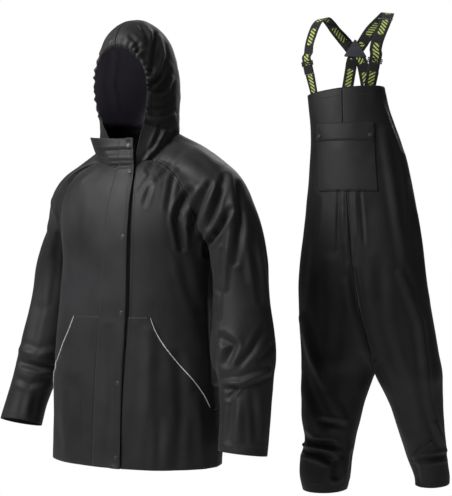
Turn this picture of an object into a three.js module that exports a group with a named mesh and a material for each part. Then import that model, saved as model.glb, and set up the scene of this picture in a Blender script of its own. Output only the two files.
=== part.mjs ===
// Rain suit: a hooded jacket and a pair of bib-and-brace overalls, hollow and filled out as when worn.
// Millimetres, +Z up. In each garment's own frame -Y is its front and +X is the wearer's left.
// The origin is the middle of the jacket's neck, where the wearer's neck holds it.
import * as THREE from 'three';

// Walls and gaps
const wall = 1.6;
const overlayWall = 1.3;
const seamPull = 0.3;
const layGap = 0.35;

// How each garment stands to the viewer
const jacketTurn = -30;
const overallsTurn = -20;
const overallsPlace = { x: 663, y: 150 };

// Heights of the jacket
const hemLevel = -875;
const pocketFoot = -712;
const pocketTop = -452;
const underarmLevel = -266;

// Snaps and piping
const snapRadius = 7;
const snapHeight = 2.4;
const snapInset = 15;
const snapLevels = [28, -50, -230, -442, -638, -845];
const pipingRadius = 1.7;
const pipingFootGap = 3;

// Rows and columns of the grids
const rowsBelowPocket = 4;
const rowsAlongPocket = 6;
const rowsAbovePocket = 4;
const frontColumnsInside = 6;
const frontColumnsOutside = 4;
const backColumns = 8;
const sleeveColumns = 16;
const sleeveTubeRows = 17;
const hoodRows = 18;
const hoodColumns = 11;
const collarColumns = 14;
const collarRows = 3;
const overallsColumns = 7;

// Share of a quarter arc that its handle takes, a little over a circle's
const roundHandle = 0.58;
// A half ring drawn with one curve reaches three quarters of its handle
const halfRingHandle = 4 / 3;
// A fold keeps this share of its height at its ends
const foldEndHeight = 0.35;
const foldTaper = 0.12;
// A fold fades where the cloth turns away from the side that it is seen from
const foldFadeFrom = -0.1;
const foldFadeTo = 0.35;
// The body's side seam starts to swing towards the underarm at this height
const armEaseLevel = -560;
// A sleeve's arc is at least this much wider than the gap that it spans
const leastArc = 1.02;

const point = (x, y, z) => new THREE.Vector3(x, y, z);
const degrees = THREE.MathUtils.degToRad;
const mix = THREE.MathUtils.lerp;

// A table is a line of column names and a list of rows.
function table(columns, rows) {
  const names = columns.split(' ');
  return rows.map((row) => Object.fromEntries(names.map((name, i) => [name, row[i]])));
}

// A row between the rows of a table, at a place counted in rows, with smooth slopes.
function between(rows, place) {
  const last = rows.length - 1;
  const i = Math.min(Math.floor(place), last - 1);
  const t = place - i;
  const result = {};
  for (const name of Object.keys(rows[0])) {
    const a = rows[Math.max(i - 1, 0)][name];
    const b = rows[i][name];
    const c = rows[i + 1][name];
    const d = rows[Math.min(i + 2, last)][name];
    const slopeB = i === 0 ? c - b : (c - a) / 2;
    const slopeC = i + 1 === last ? c - b : (d - b) / 2;
    const t2 = t * t;
    const t3 = t2 * t;
    result[name] = (2 * t3 - 3 * t2 + 1) * b + (t3 - 2 * t2 + t) * slopeB
      + (3 * t2 - 2 * t3) * c + (t3 - t2) * slopeC;
  }
  return result;
}

// A row of a table whose column named key has the given value.
function rowAt(rows, key, value) {
  const rising = rows[1][key] > rows[0][key];
  let i = 0;
  while (i < rows.length - 2 && (rising ? rows[i + 1][key] < value : rows[i + 1][key] > value)) {
    i += 1;
  }
  const share = (value - rows[i][key]) / (rows[i + 1][key] - rows[i][key]);
  return between(rows, i + share);
}

// Points at the given distances along a line of points.
function atDistances(line, distances) {
  const sums = [0];
  for (let i = 1; i < line.length; i += 1) {
    sums.push(sums[i - 1] + line[i].distanceTo(line[i - 1]));
  }
  return distances.map((distance) => {
    if (distance >= sums.at(-1) - 1e-6) {
      return line.at(-1).clone();
    }
    let i = 0;
    while (i < line.length - 2 && sums[i + 1] < distance) {
      i += 1;
    }
    return line[i].clone().lerp(line[i + 1], (distance - sums[i]) / (sums[i + 1] - sums[i]));
  });
}

function lengthOf(line) {
  return line.slice(1).reduce((sum, p, i) => sum + p.distanceTo(line[i]), 0);
}

// A cubic curve from start to end, drawn finely.
function curveLine(start, startHandle, endHandle, end, steps = 48) {
  const curve = new THREE.CubicBezierCurve3(
    start, start.clone().add(startHandle), end.clone().add(endHandle), end);
  return curve.getPoints(steps);
}

function evenly(from, to, count) {
  return Array.from({ length: count + 1 }, (_, i) => mix(from, to, i / count));
}

// Cloth is a mesh of four-cornered cells that share their corners, each cell with the name of its piece.
function newCloth() {
  return { corners: [], normals: [], cells: [], index: new Map() };
}

function cornerOf(cloth, p) {
  const key = [p.x, p.y, p.z].map((value) => Math.round(value * 100)).join(' ');
  if (!cloth.index.has(key)) {
    cloth.index.set(key, cloth.corners.length);
    cloth.corners.push(p.clone());
  }
  return cloth.index.get(key);
}

// The cells of a grid of points; pieceOf names the piece of the cell at a row and column, or gives null.
// Rows go up and columns run to the wearer's left across the front, or else the cells are turned over.
function addGrid(cloth, grid, turned, pieceOf) {
  for (let row = 0; row + 1 < grid.length; row += 1) {
    for (let column = 0; column + 1 < grid[row].length; column += 1) {
      const piece = pieceOf(row, column);
      if (piece) {
        const around = [grid[row][column], grid[row][column + 1], grid[row + 1][column + 1], grid[row + 1][column]];
        cloth.cells.push({ piece, row, column, turned, ids: around.map((p) => cornerOf(cloth, p)) });
      }
    }
  }
}

// Each corner's outward direction is the mean of its cells'.
function findNormals(cloth) {
  cloth.normals = cloth.corners.map(() => point(0, 0, 0));
  for (const cell of cloth.cells) {
    const [a, b, c, d] = cell.ids.map((id) => cloth.corners[id]);
    const normal = c.clone().sub(a).cross(d.clone().sub(b));
    if (cell.turned) {
      normal.negate();
    }
    cell.ids.forEach((id) => cloth.normals[id].add(normal));
  }
  cloth.normals.forEach((normal) => normal.normalize());
}

// Soft ridges and troughs, each along a line seen from the front or the back of the standing garment.
function pressFolds(cloth, folds, turn) {
  const right = point(Math.cos(degrees(turn)), -Math.sin(degrees(turn)), 0);
  const toViewer = point(-Math.sin(degrees(-turn)), -Math.cos(degrees(turn)), 0);
  cloth.corners.forEach((corner, id) => {
    const across = corner.dot(right);
    const facing = cloth.normals[id].dot(toViewer);
    let rise = 0;
    for (const fold of folds) {
      const run = new THREE.Vector2(fold.endX - fold.startX, fold.endZ - fold.startZ);
      const from = new THREE.Vector2(across - fold.startX, corner.z - fold.startZ);
      const along = THREE.MathUtils.clamp(from.dot(run) / run.lengthSq(), 0, 1);
      const aside = from.distanceTo(run.clone().multiplyScalar(along)) / fold.width;
      const side = THREE.MathUtils.smoothstep(fold.side * facing, foldFadeFrom, foldFadeTo);
      const middle = Math.sin(Math.PI * mix(foldTaper, 1 - foldTaper, along));
      const taper = mix(foldEndHeight, 1, middle);
      rise += fold.height * Math.exp(-aside * aside) * taper * side;
    }
    corner.addScaledVector(cloth.normals[id], rise);
  });
}

// Each cell is split along its shorter diagonal, the same for all that lies on it.
function splitOf(cloth, cell) {
  const [a, b, c, d] = cell.ids.map((id) => cloth.corners[id]);
  return a.distanceTo(c) <= b.distanceTo(d) ? [[0, 1, 2], [0, 2, 3]] : [[0, 1, 3], [1, 2, 3]];
}

// A piece of the cloth as one closed wall. lift moves it out from the cloth's own surface.
function pieceGeometry(cloth, chosen, { lift = 0, thick = wall } = {}) {
  const cells = cloth.cells.filter(chosen);
  const local = new Map();
  const edges = new Map();
  const inward = [];
  for (const cell of cells) {
    const ids = cell.turned ? [...cell.ids].reverse() : cell.ids;
    const middle = ids.reduce((sum, id) => sum.add(cloth.corners[id]), point(0, 0, 0)).multiplyScalar(0.25);
    ids.forEach((id, i) => {
      if (!local.has(id)) {
        local.set(id, local.size);
        inward.push(point(0, 0, 0));
      }
      const next = ids[(i + 1) % ids.length];
      const edge = [id, next].sort((a, b) => a - b).join(' ');
      edges.set(edge, edges.has(edge) ? null : [id, next]);
      inward[local.get(id)].add(middle.clone().sub(cloth.corners[id]).normalize());
    });
  }
  const rim = [...edges.values()].filter(Boolean);
  const onRim = new Set(rim.flat());
  const outer = [];
  const inner = [];
  for (const [id, i] of local) {
    const normal = cloth.normals[id];
    const place = cloth.corners[id].clone().addScaledVector(normal, lift + (lift ? thick : 0));
    if (onRim.has(id)) {
      const pull = inward[i].addScaledVector(normal, -inward[i].dot(normal)).normalize();
      place.addScaledVector(pull, seamPull);
    }
    outer.push(place);
    inner.push(place.clone().addScaledVector(normal, -thick));
  }
  const count = outer.length;
  const faces = [];
  for (const cell of cells) {
    const ids = cell.ids.map((id) => local.get(id));
    for (const [p, q, r] of splitOf(cloth, cell).map((three) => three.map((i) => ids[i]))) {
      const outward = cell.turned ? [p, r, q] : [p, q, r];
      faces.push(...outward);
      faces.push(...[...outward].reverse().map((i) => i + count));
    }
  }
  for (const [from, to] of rim) {
    const a = local.get(from);
    const b = local.get(to);
    faces.push(b, a, a + count, b, a + count, b + count);
  }
  const geometry = new THREE.BufferGeometry();
  const numbers = [...outer, ...inner].flatMap((p) => [p.x, p.y, p.z]);
  geometry.setAttribute('position', new THREE.Float32BufferAttribute(numbers, 3));
  geometry.setIndex(faces);
  geometry.computeVertexNormals();
  return geometry;
}

// Materials
const clothBlack = new THREE.MeshStandardMaterial({ color: 0x1d1d1f, roughness: 0.62, metalness: 0 });
const pocketBlack = new THREE.MeshStandardMaterial({ color: 0x232325, roughness: 0.62, metalness: 0 });
const reflectiveGrey = new THREE.MeshStandardMaterial({ color: 0xc9ccd0, roughness: 0.4, metalness: 0 });
const snapBlack = new THREE.MeshStandardMaterial({ color: 0x2c2c2e, roughness: 0.35, metalness: 0.2 });
const webbingBlack = new THREE.MeshStandardMaterial({ color: 0x161616, roughness: 0.85, metalness: 0 });
const patchGrey = new THREE.MeshStandardMaterial({ color: 0x35353f, roughness: 0.7, metalness: 0 });
const loopGrey = new THREE.MeshStandardMaterial({ color: 0x5b5d58, roughness: 0.8, metalness: 0 });
const sliderSteel = new THREE.MeshStandardMaterial({ color: 0xb8bcc0, roughness: 0.3, metalness: 0.9 });

const rainSuit = new THREE.Group();
const jacket = new THREE.Group();
const overalls = new THREE.Group();
jacket.rotation.z = degrees(jacketTurn);
overalls.rotation.z = degrees(overallsTurn);
overalls.position.set(overallsPlace.x, overallsPlace.y, 0);
rainSuit.add(jacket, overalls);

function addPiece(group, name, geometry, material) {
  const mesh = new THREE.Mesh(geometry, material);
  mesh.name = name;
  group.add(mesh);
  return mesh;
}

// Jacket body below the underarms: half widths to each side, depths to front and back
const bodyTable = table('z left right front back', [
  [-875, 264, 276, 170, 168],
  [-800, 262, 274, 168, 166],
  [-700, 255, 273, 165, 162],
  [-570, 245, 270, 160, 158],
  [-450, 242, 270, 157, 156],
  [-350, 242, 268, 156, 157],
  [-266, 250, 260, 155, 158],
]);

// Raglan seams, from the underarm (row 0) to the neck (last row), with the body's centre lines.
// The turns are how far the body's surface bends back, in degrees, where it meets the seam.
const raglanTable = table(
  'frontX frontY frontZ frontTurn backX backY backZ backTurn centreFrontY centreFrontZ centreBackY centreBackZ', [
    [0, 0, 0, 90, 0, 0, 0, 90, -155, -266, 158, -266],
    [240, -46, -208, 68, 244, 64, -212, 68, -153, -215, 161, -222],
    [226, -68, -150, 50, 229, 90, -156, 50, -147, -165, 163, -172],
    [205, -76, -93, 36, 208, 99, -100, 40, -136, -118, 160, -118],
    [172, -74, -50, 28, 178, 95, -46, 34, -122, -80, 148, -60],
    [130, -67, -23, 22, 142, 77, 6, 28, -108, -54, 122, -2],
    [88, -61, -12, 20, 104, 44, 48, 24, -96, -38, 86, 54],
  ]);

// The outer line of each raglan sleeve beside the same rows, and its half depth front to back
const capTables = {
  left: table('x y z depth', [
    [408, 14, -238, 80],
    [386, 14, -172, 86],
    [362, 14, -116, 92],
    [332, 14, -64, 98],
    [286, 12, -22, 94],
    [210, 9, 24, 80],
    [124, 2, 56, 60],
  ]),
  right: table('x y z depth', [
    [358, 74, -243, 68],
    [338, 64, -188, 78],
    [320, 50, -140, 90],
    [292, 34, -94, 97],
    [254, 20, -52, 94],
    [192, 10, -10, 80],
    [120, 2, 36, 60],
  ]),
};
const underarms = { left: point(246, 7.5, -266.5), right: point(260, 34, -262) };

// Sleeve rings below the underarm. The slopes tilt a ring, so many millimetres up for each one out or back.
const sleeveTables = {
  left: table('z x y width depth sideSlope backSlope', [
    [-320, 337, 12, 80, 80, 0.1, 0],
    [-400, 342, 12, 79, 80, 0.04, 0],
    [-489, 348, 8, 90, 88, 0, 0],
    [-566, 354, 0, 95, 92, 0, -0.05],
    [-632, 368, -10, 77, 80, -0.05, -0.1],
    [-720, 376, -28, 73, 72, -0.05, -0.16],
    [-824, 376, -42, 70, 68, -0.06, -0.12],
  ]),
  right: table('z x y width depth sideSlope backSlope', [
    [-320, 336, 76, 70, 78, 0.16, 0],
    [-398, 344, 72, 73, 78, 0.1, 0],
    [-470, 354, 64, 76, 80, 0.04, 0],
    [-566, 368, 50, 78, 84, 0, -0.08],
    [-654, 383, 18, 66, 72, 0, -0.16],
    [-722, 397, -6, 64, 64, 0.02, -0.24],
    [-788, 405, -26, 65, 63, 0.02, -0.3],
  ]),
};

// Where the middle of the front lies across at each height: the jacket closes a little to the wearer's left.
const middleTable = table('z x', [
  [-875, 12],
  [-650, 13],
  [-450, 24],
  [-240, 29],
  [-60, 28],
  [-38, 22],
]);

// How far the storm flap reaches from the middle, to the wearer's right and left, at each height
const flapTable = table('z right left', [
  [-875, 52, 46],
  [-450, 50, 44],
  [-240, 42, 42],
  [-150, 36, 42],
  [-60, 30, 38],
  [-38, 28, 33],
  [60, 27, 27],
]);

// How far along the front, from flap edge to side seam, the pocket's mouth runs at each height
const mouthTable = table('z right left', [
  [-875, 0.8, 0.82],
  [-712, 0.87, 0.91],
  [-452, 0.32, 0.26],
  [-360, 0.5, 0.45],
  [-266, 0.6, 0.58],
  [60, 0.6, 0.6],
]);

// One row across half of the front: the middle, the flap's edge, then even steps either side of the mouth.
function frontColumns(line, level, side) {
  const whole = lengthOf(line);
  const flapEdge = rowAt(flapTable, 'z', level)[side];
  const mouth = mix(flapEdge, whole, rowAt(mouthTable, 'z', level)[side]);
  return atDistances(line, [
    0,
    ...evenly(flapEdge, mouth, frontColumnsInside),
    ...evenly(mouth, whole, frontColumnsOutside).slice(1),
  ]);
}

function jacketBodyGrids(side) {
  const sign = side === 'left' ? 1 : -1;
  const front = [];
  const back = [];
  const levels = [
    ...evenly(hemLevel, pocketFoot, rowsBelowPocket),
    ...evenly(pocketFoot, pocketTop, rowsAlongPocket).slice(1),
    ...evenly(pocketTop, underarmLevel, rowsAbovePocket).slice(1, -1),
  ];
  const underarm = underarms[side];
  for (const z of levels) {
    const row = rowAt(bodyTable, 'z', z);
    const nearArm = THREE.MathUtils.smoothstep(z, armEaseLevel, underarmLevel);
    const edge = point(sign * row[side], underarm.y * nearArm, z);
    const middle = point(rowAt(middleTable, 'z', z).x, -row.front, z);
    const frontLine = curveLine(
      middle, point(roundHandle * (edge.x - middle.x), 0, 0), point(0, -roundHandle * row.front, 0), edge);
    const backLine = curveLine(
      edge, point(0, roundHandle * row.back, 0),
      point(sign * roundHandle * row[side], 0, 0), point(0, row.back, z));
    front.push(frontColumns(frontLine, z, side));
    back.push(atDistances(backLine, evenly(0, lengthOf(backLine), backColumns)));
  }
  raglanTable.forEach((row, i) => {
    const frontEdge = i === 0 ? underarm.clone() : point(row.frontX, row.frontY, row.frontZ);
    const backEdge = i === 0 ? underarm.clone() : point(row.backX, row.backY, row.backZ);
    frontEdge.x *= sign;
    backEdge.x *= sign;
    const handleOf = (edge, turn, depth) => {
      const reach = roundHandle * mix(Math.abs(edge.x), Math.abs(depth - edge.y), Math.sin(degrees(turn)));
      const back = -sign * Math.cos(degrees(turn)) * reach;
      return point(back, Math.sign(depth) * Math.sin(degrees(turn)) * reach, 0);
    };
    const middle = point(rowAt(middleTable, 'z', row.centreFrontZ).x, row.centreFrontY, row.centreFrontZ);
    const frontLine = curveLine(
      middle, point(roundHandle * (frontEdge.x - middle.x), 0, 0),
      handleOf(frontEdge, row.frontTurn, row.centreFrontY), frontEdge);
    const backLine = curveLine(
      backEdge, handleOf(backEdge, row.backTurn, row.centreBackY),
      point(roundHandle * backEdge.x, 0, 0), point(0, row.centreBackY, row.centreBackZ));
    front.push(frontColumns(frontLine, row.centreFrontZ, side));
    back.push(atDistances(backLine, evenly(0, lengthOf(backLine), backColumns)));
  });
  return { front, back };
}

// A ring of the sleeve, or the part of one that lies between the two raglan seams.
function sleeveRing(frontEdge, backEdge, top, depth, depthWay) {
  const chord = backEdge.clone().sub(frontEdge);
  const half = chord.length() / 2;
  const middle = frontEdge.clone().add(backEdge).multiplyScalar(0.5);
  const up = top.clone().sub(middle);
  const height = up.length();
  up.normalize();
  const aside = half > 1 ? chord.clone().normalize() : depthWay.clone();
  if (half <= 1) {
    aside.addScaledVector(up, -aside.dot(up)).normalize();
  }
  const reach = Math.max(depth, half * leastArc);
  const opening = Math.asin(half / reach);
  const radius = height / (1 + Math.cos(opening));
  const centre = top.clone().addScaledVector(up, -radius);
  return evenly(opening, 2 * Math.PI - opening, sleeveColumns).map((angle, i) => {
    if (i === 0) {
      return frontEdge.clone();
    }
    if (i === sleeveColumns) {
      return backEdge.clone();
    }
    return centre.clone()
      .addScaledVector(up, -radius * Math.cos(angle))
      .addScaledVector(aside, -reach * Math.sin(angle));
  });
}

function sleeveGrid(side) {
  const sign = side === 'left' ? 1 : -1;
  const mirror = (p) => point(sign * p.x, p.y, p.z);
  const tube = sleeveTables[side].map((row) => {
    const inner = point(row.x - row.width, row.y, row.z - row.width * row.sideSlope);
    const outer = point(row.x + row.width, row.y, row.z + row.width * row.sideSlope);
    return { inner, outer, depth: row.depth, backSlope: row.backSlope };
  });
  const cap = capTables[side];
  const shoulder = { inner: underarms[side], outer: point(cap[0].x, cap[0].y, cap[0].z), depth: cap[0].depth, backSlope: 0 };
  const rings = [shoulder, ...tube].map(({ inner, outer, depth, backSlope }) => (
    { ix: inner.x, iy: inner.y, iz: inner.z, ox: outer.x, oy: outer.y, oz: outer.z, depth, backSlope }));
  const grid = evenly(rings.length - 1, 0, sleeveTubeRows).map((place) => {
    const row = between(rings, place);
    const inner = point(row.ix, row.iy, row.iz);
    return sleeveRing(inner, inner, point(row.ox, row.oy, row.oz), row.depth, point(0, 1, row.backSlope));
  });
  raglanTable.slice(1).forEach((row, i) => {
    const top = cap[i + 1];
    grid.push(sleeveRing(
      point(row.frontX, row.frontY, row.frontZ), point(row.backX, row.backY, row.backZ),
      point(top.x, top.y, top.z), top.depth, point(0, 1, 0)));
  });
  return grid.map((ring) => ring.map(mirror));
}

// The largest folds of the jacket: where each starts and ends across and up, its width and its height.
// side is 1 for the face that the viewer sees and -1 for the far face.
const jacketFolds = table('startX startZ endX endZ width height side', [
  [150, -100, 118, -250, 17, -7, 1],
  [205, -80, 155, -200, 15, -7, 1],
  [245, -120, 205, -262, 15, -10, 1],
  [222, -150, 180, -250, 12, 5, 1],
  [272, -60, 265, -270, 18, 6, 1],
  [305, -160, 318, -340, 16, -6, 1],
  [235, -520, 290, -560, 16, -10, 1],
  [255, -640, 370, -600, 15, 8, 1],
  [262, -655, 285, -680, 14, -7, 1],
  [-352, -600, -262, -612, 14, -9, 1],
  [-372, -640, -270, -655, 14, 6, 1],
  [-150, -300, -170, -520, 30, -5, 1],
  [30, -560, 60, -860, 30, 6, 1],
  [130, -600, 120, -860, 26, -6, 1],
  [190, -640, 200, -860, 24, 6, 1],
  [-190, -620, -200, -860, 26, 5, 1],
  [-120, -560, -130, -860, 24, -4, 1],
  [-60, -140, -80, -420, 40, -5, -1],
  [90, -160, 60, -500, 36, 5, -1],
  [-10, -560, 0, -860, 34, 7, -1],
  [-120, -560, -140, -860, 30, -6, -1],
  [120, -600, 130, -860, 28, 6, -1],
  [-280, -600, -370, -620, 16, -8, -1],
  [250, -610, 380, -600, 18, -9, -1],
]);

// The jacket's body and sleeves are one cloth, so that pieces share their corners along each seam.
const jacketCloth = newCloth();
const jacketGrids = {};
for (const side of ['right', 'left']) {
  const turned = side === 'right';
  const { front, back } = jacketBodyGrids(side);
  const sleeve = sleeveGrid(side);
  addGrid(jacketCloth, front, turned, () => `front ${side}`);
  addGrid(jacketCloth, back, turned, () => 'back');
  addGrid(jacketCloth, sleeve, turned, () => `sleeve ${side}`);
  jacketGrids[side] = { front, back, sleeve };
}
findNormals(jacketCloth);
pressFolds(jacketCloth, jacketFolds, jacketTurn);
findNormals(jacketCloth);

// The place of a grid's point after the folds are pressed, moved out by lift
function pressed(cloth, before, lift) {
  const id = cornerOf(cloth, before);
  return cloth.corners[id].clone().addScaledVector(cloth.normals[id], lift);
}

const jacketPieces = {
  jacket_front_right: 'front right',
  jacket_front_left: 'front left',
  jacket_back: 'back',
  jacket_sleeve_right: 'sleeve right',
  jacket_sleeve_left: 'sleeve left',
};
for (const [name, piece] of Object.entries(jacketPieces)) {
  addPiece(jacket, name, pieceGeometry(jacketCloth, (cell) => cell.piece === piece), clothBlack);
}

// Front pockets: laid on the fronts from the flap's edge to the slanting mouth, and below it to the side seam
const mouthColumn = 1 + frontColumnsInside;
const pocketTopRow = rowsBelowPocket + rowsAlongPocket;
for (const side of ['right', 'left']) {
  const onPocket = (cell) => cell.piece === `front ${side}` && cell.column >= 1 && cell.row < pocketTopRow
    && (cell.row < rowsBelowPocket || cell.column < mouthColumn);
  const geometry = pieceGeometry(jacketCloth, onPocket, { lift: layGap, thick: overlayWall });
  addPiece(jacket, `jacket_pocket_${side}`, geometry, pocketBlack);
}

// A closed body from its corners and its faces, which all turn outwards
function closedGeometry(corners, faces) {
  const geometry = new THREE.BufferGeometry();
  geometry.setAttribute('position', new THREE.Float32BufferAttribute(corners.flatMap((p) => [p.x, p.y, p.z]), 3));
  geometry.setIndex(faces);
  geometry.computeVertexNormals();
  return geometry;
}

// A body drawn through loops of corners, with a flat end at each side. Loops turn to the left seen from the last.
// Each four-cornered cell is folded along one diagonal, and along the other one on a side that crosses.
function loftGeometry(loops, crosses = () => false) {
  const sides = loops[0].length;
  const faces = [];
  const at = (i, side) => i * sides + (side % sides);
  for (let i = 0; i + 1 < loops.length; i += 1) {
    for (let side = 0; side < sides; side += 1) {
      const [a, b, c, d] = [at(i, side), at(i, side + 1), at(i + 1, side + 1), at(i + 1, side)];
      faces.push(...(crosses(side) ? [a, b, d, b, c, d] : [a, b, c, a, c, d]));
    }
  }
  for (let side = 1; side + 1 < sides; side += 1) {
    faces.push(at(0, 0), at(0, side + 1), at(0, side));
    faces.push(at(loops.length - 1, 0), at(loops.length - 1, side), at(loops.length - 1, side + 1));
  }
  return closedGeometry(loops.flat(), faces);
}

// A round bar along a line of points
function barGeometry(line, radius, sides = 6) {
  return loftGeometry(line.map((place, i) => {
    const way = line[Math.min(i + 1, line.length - 1)].clone().sub(line[Math.max(i - 1, 0)]).normalize();
    const aside = way.clone().cross(Math.abs(way.z) > 0.9 ? point(0, 1, 0) : point(0, 0, 1)).normalize();
    const up = aside.clone().cross(way).negate();
    return evenly(0, 2 * Math.PI, sides).slice(0, -1).map((angle) => place.clone()
      .addScaledVector(aside, radius * Math.cos(angle))
      .addScaledVector(up, radius * Math.sin(angle)));
  }));
}

// A flat band along a line of points, with the way that its face looks at each. Where it twists, its face is
// folded along the same diagonals as its back, so that it keeps its thickness.
const bandFace = 1;
function bandGeometry(line, faceWays, width, thick) {
  return loftGeometry(line.map((place, i) => {
    const way = line[Math.min(i + 1, line.length - 1)].clone().sub(line[Math.max(i - 1, 0)]).normalize();
    const face = faceWays[i].clone().addScaledVector(way, -faceWays[i].dot(way)).normalize();
    const aside = way.clone().cross(face);
    const corner = (a, b) => place.clone().addScaledVector(aside, (a * width) / 2).addScaledVector(face, b * thick);
    return [corner(-1, 0), corner(-1, 1), corner(1, 1), corner(1, 0)];
  }), (side) => side === bandFace);
}

// Reflective piping lies along each pocket's mouth, against the pocket's edge.
for (const side of ['right', 'left']) {
  const { front } = jacketGrids[side];
  const line = front.slice(rowsBelowPocket, pocketTopRow + 1).map((row) => {
    const edge = pressed(jacketCloth, row[mouthColumn], 2 * layGap + pipingRadius);
    const beyond = pressed(jacketCloth, row[mouthColumn + 1], 2 * layGap + pipingRadius);
    return edge.lerp(beyond, (pipingRadius + layGap) / edge.distanceTo(beyond));
  });
  line[0].lerp(line[1], pipingFootGap / line[0].distanceTo(line[1]));
  addPiece(jacket, `jacket_piping_${side}`, barGeometry(line, pipingRadius), reflectiveGrey);
}

// The neck seam on each side, from the middle of the front over the shoulder to the middle of the back
const neckLines = Object.fromEntries(['right', 'left'].map((side) => {
  const { front, sleeve, back } = jacketGrids[side];
  const line = [...front.at(-1), ...sleeve.at(-1).slice(1), ...back.at(-1).slice(1)];
  return [side, line.map((p) => pressed(jacketCloth, p, 0))];
}));

// Hood hoops from the face opening (row 0) to the middle of the back. Each starts on the neck seam at a distance
// from its front, passes its widest point and ends on the centre seam.
const hoodTable = table('base sideX sideY sideZ seamY seamZ lean', [
  [33, 91, -88, 196, -103, 311, 16],
  [46, 95, -82, 196, -113, 324, 14],
  [72, 104, -62, 196, -103, 353, 8],
  [105, 111, -34, 196, -72, 384, 0],
  [140, 115, -4, 196, -30, 400, 0],
  [175, 116, 26, 196, 20, 402, 0],
  [210, 110, 56, 192, 70, 384, 0],
  [245, 95, 86, 182, 108, 340, 0],
  [280, 68, 108, 165, 127, 272, 0],
  [312, 34, 114, 140, 124, 200, 0],
  [400, 0, 108, 110, 118, 150, 0],
]);
const hoodLift = 1.1;
const neckMiddle = middleTable.at(-1).x;
const hoodEase = [46, 140];
const hoodLowerHandle = 0.36;
const hoodUpperHandle = 0.42;
const hoodCurveSteps = 24;
const hoodFolds = table('startX startZ endX endZ width height side', [
  [48, 352, 34, 255, 11, -7, 1],
  [66, 345, 30, 215, 10, 5, 1],
  [76, 245, 45, 185, 11, -6, 1],
  [82, 235, 46, 160, 9, 5, 1],
  [86, 190, 56, 120, 12, -5, 1],
  [92, 60, 62, 30, 12, 4, 1],
  [-10, 330, -35, 300, 12, -4, 1],
  [60, 330, 80, 200, 16, -5, -1],
  [-40, 320, -70, 180, 18, -5, -1],
  [0, 100, 10, 60, 20, -5, -1],
]);
const hoodCloth = newCloth();
const hoodGrids = {};
for (const side of ['right', 'left']) {
  const sign = side === 'left' ? 1 : -1;
  const neck = neckLines[side];
  hoodGrids[side] = evenly(0, hoodTable.length - 1, hoodRows).map((place) => {
    const row = between(hoodTable, place);
    const eased = neckMiddle * THREE.MathUtils.smoothstep(row.base, ...hoodEase);
    const base = atDistances(neck, [row.base - sign * eased])[0];
    base.z += hoodLift;
    const widest = point(sign * row.sideX, row.sideY, row.sideZ);
    const rise = widest.z - base.z;
    const lower = curveLine(
      base, point(0, 0, hoodLowerHandle * rise), point(0, row.lean, -hoodUpperHandle * rise), widest, hoodCurveSteps);
    const crown = row.seamZ - row.sideZ;
    const upper = curveLine(
      widest, point(0, 0, roundHandle * crown), point(sign * roundHandle * row.sideX, 0, 0),
      point(0, row.seamY, row.seamZ), hoodCurveSteps);
    const line = [...lower, ...upper.slice(1)];
    return atDistances(line, evenly(0, lengthOf(line), hoodColumns));
  });
  addGrid(hoodCloth, hoodGrids[side], side === 'left', () => side);
}
findNormals(hoodCloth);
pressFolds(hoodCloth, hoodFolds, jacketTurn);
findNormals(hoodCloth);
for (const side of ['right', 'left']) {
  addPiece(jacket, `jacket_hood_${side}`, pieceGeometry(hoodCloth, (cell) => cell.piece === side), clothBlack);
}

// The collar stands outside the hood from the flap's left edge round to the wearer's right.
// along is the distance round the neck seam from its front, less than 0 to the wearer's right.
const collarTable = table('along topX topY topZ', [
  [31, 42, -80, 50],
  [0, 15, -85, 51],
  [-52, -34, -93, 53],
  [-102, -84, -91, 56],
  [-140, -119, -68, 60],
  [-172, -134, -32, 62],
  [-207, -134, 8, 64],
  [-234, -124, 40, 66],
]);
const collarOffset = 3.2;
const collarLift = 1.5;
const collarBow = 3;
const collarColumnPlaces = [0, 1, ...evenly(1, collarTable.length - 1, collarColumns).slice(1)];
const collarCloth = newCloth();
const collarGrid = evenly(0, 1, collarRows).map((height) => collarColumnPlaces.map((place) => {
  const row = between(collarTable, place);
  const neck = neckLines[row.along > 0 ? 'left' : 'right'];
  const base = atDistances(neck, [Math.abs(row.along)])[0];
  const out = point(base.x, base.y, 0).normalize();
  base.addScaledVector(out, collarOffset);
  base.z += collarLift;
  const top = point(row.topX, row.topY, row.topZ);
  const bow = collarBow * Math.sin(Math.PI * height);
  return base.lerp(top, height).addScaledVector(out, bow);
}));
addGrid(collarCloth, collarGrid, true, () => 'collar');
findNormals(collarCloth);
addPiece(jacket, 'jacket_collar', pieceGeometry(collarCloth, () => true), clothBlack);

// The storm flap lies on the fronts and on the collar, and takes its corners from theirs.
const flapCloth = newCloth();
const flapLift = layGap + overlayWall;
const flapBodyRows = jacketGrids.right.front.slice(0, -1).map((row, i) => [
  pressed(jacketCloth, jacketGrids.right.front[i][1], flapLift),
  pressed(jacketCloth, row[0], flapLift),
  pressed(jacketCloth, jacketGrids.left.front[i][1], flapLift),
]);
const collarRightColumn = collarColumnPlaces.findIndex((place) => place > 1);
const flapCollarRows = collarGrid.map((row) => [row[collarRightColumn], row[1], row[0]].map(
  (p) => pressed(collarCloth, p, flapLift)));
const flapGrid = [...flapBodyRows, ...flapCollarRows];
addGrid(flapCloth, flapGrid, false, () => 'flap');
findNormals(flapCloth);
addPiece(jacket, 'jacket_storm_flap', pieceGeometry(flapCloth, () => true, { thick: overlayWall }), clothBlack);

// A press snap: a low round cap whose flat side is at its own z = 0
const snapRim = 0.45;
const snapTop = 0.7;
const snapSides = 14;
const snapGap = 0.6;
function snapMesh(group, name, radius, height) {
  const profile = [[0, 0], [radius, 0], [radius, snapRim * height], [snapTop * radius, height], [0, height]];
  const geometry = new THREE.LatheGeometry(profile.map(([r, z]) => new THREE.Vector2(r, z)), snapSides);
  geometry.rotateX(Math.PI / 2);
  return addPiece(group, name, geometry, snapBlack);
}

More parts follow.
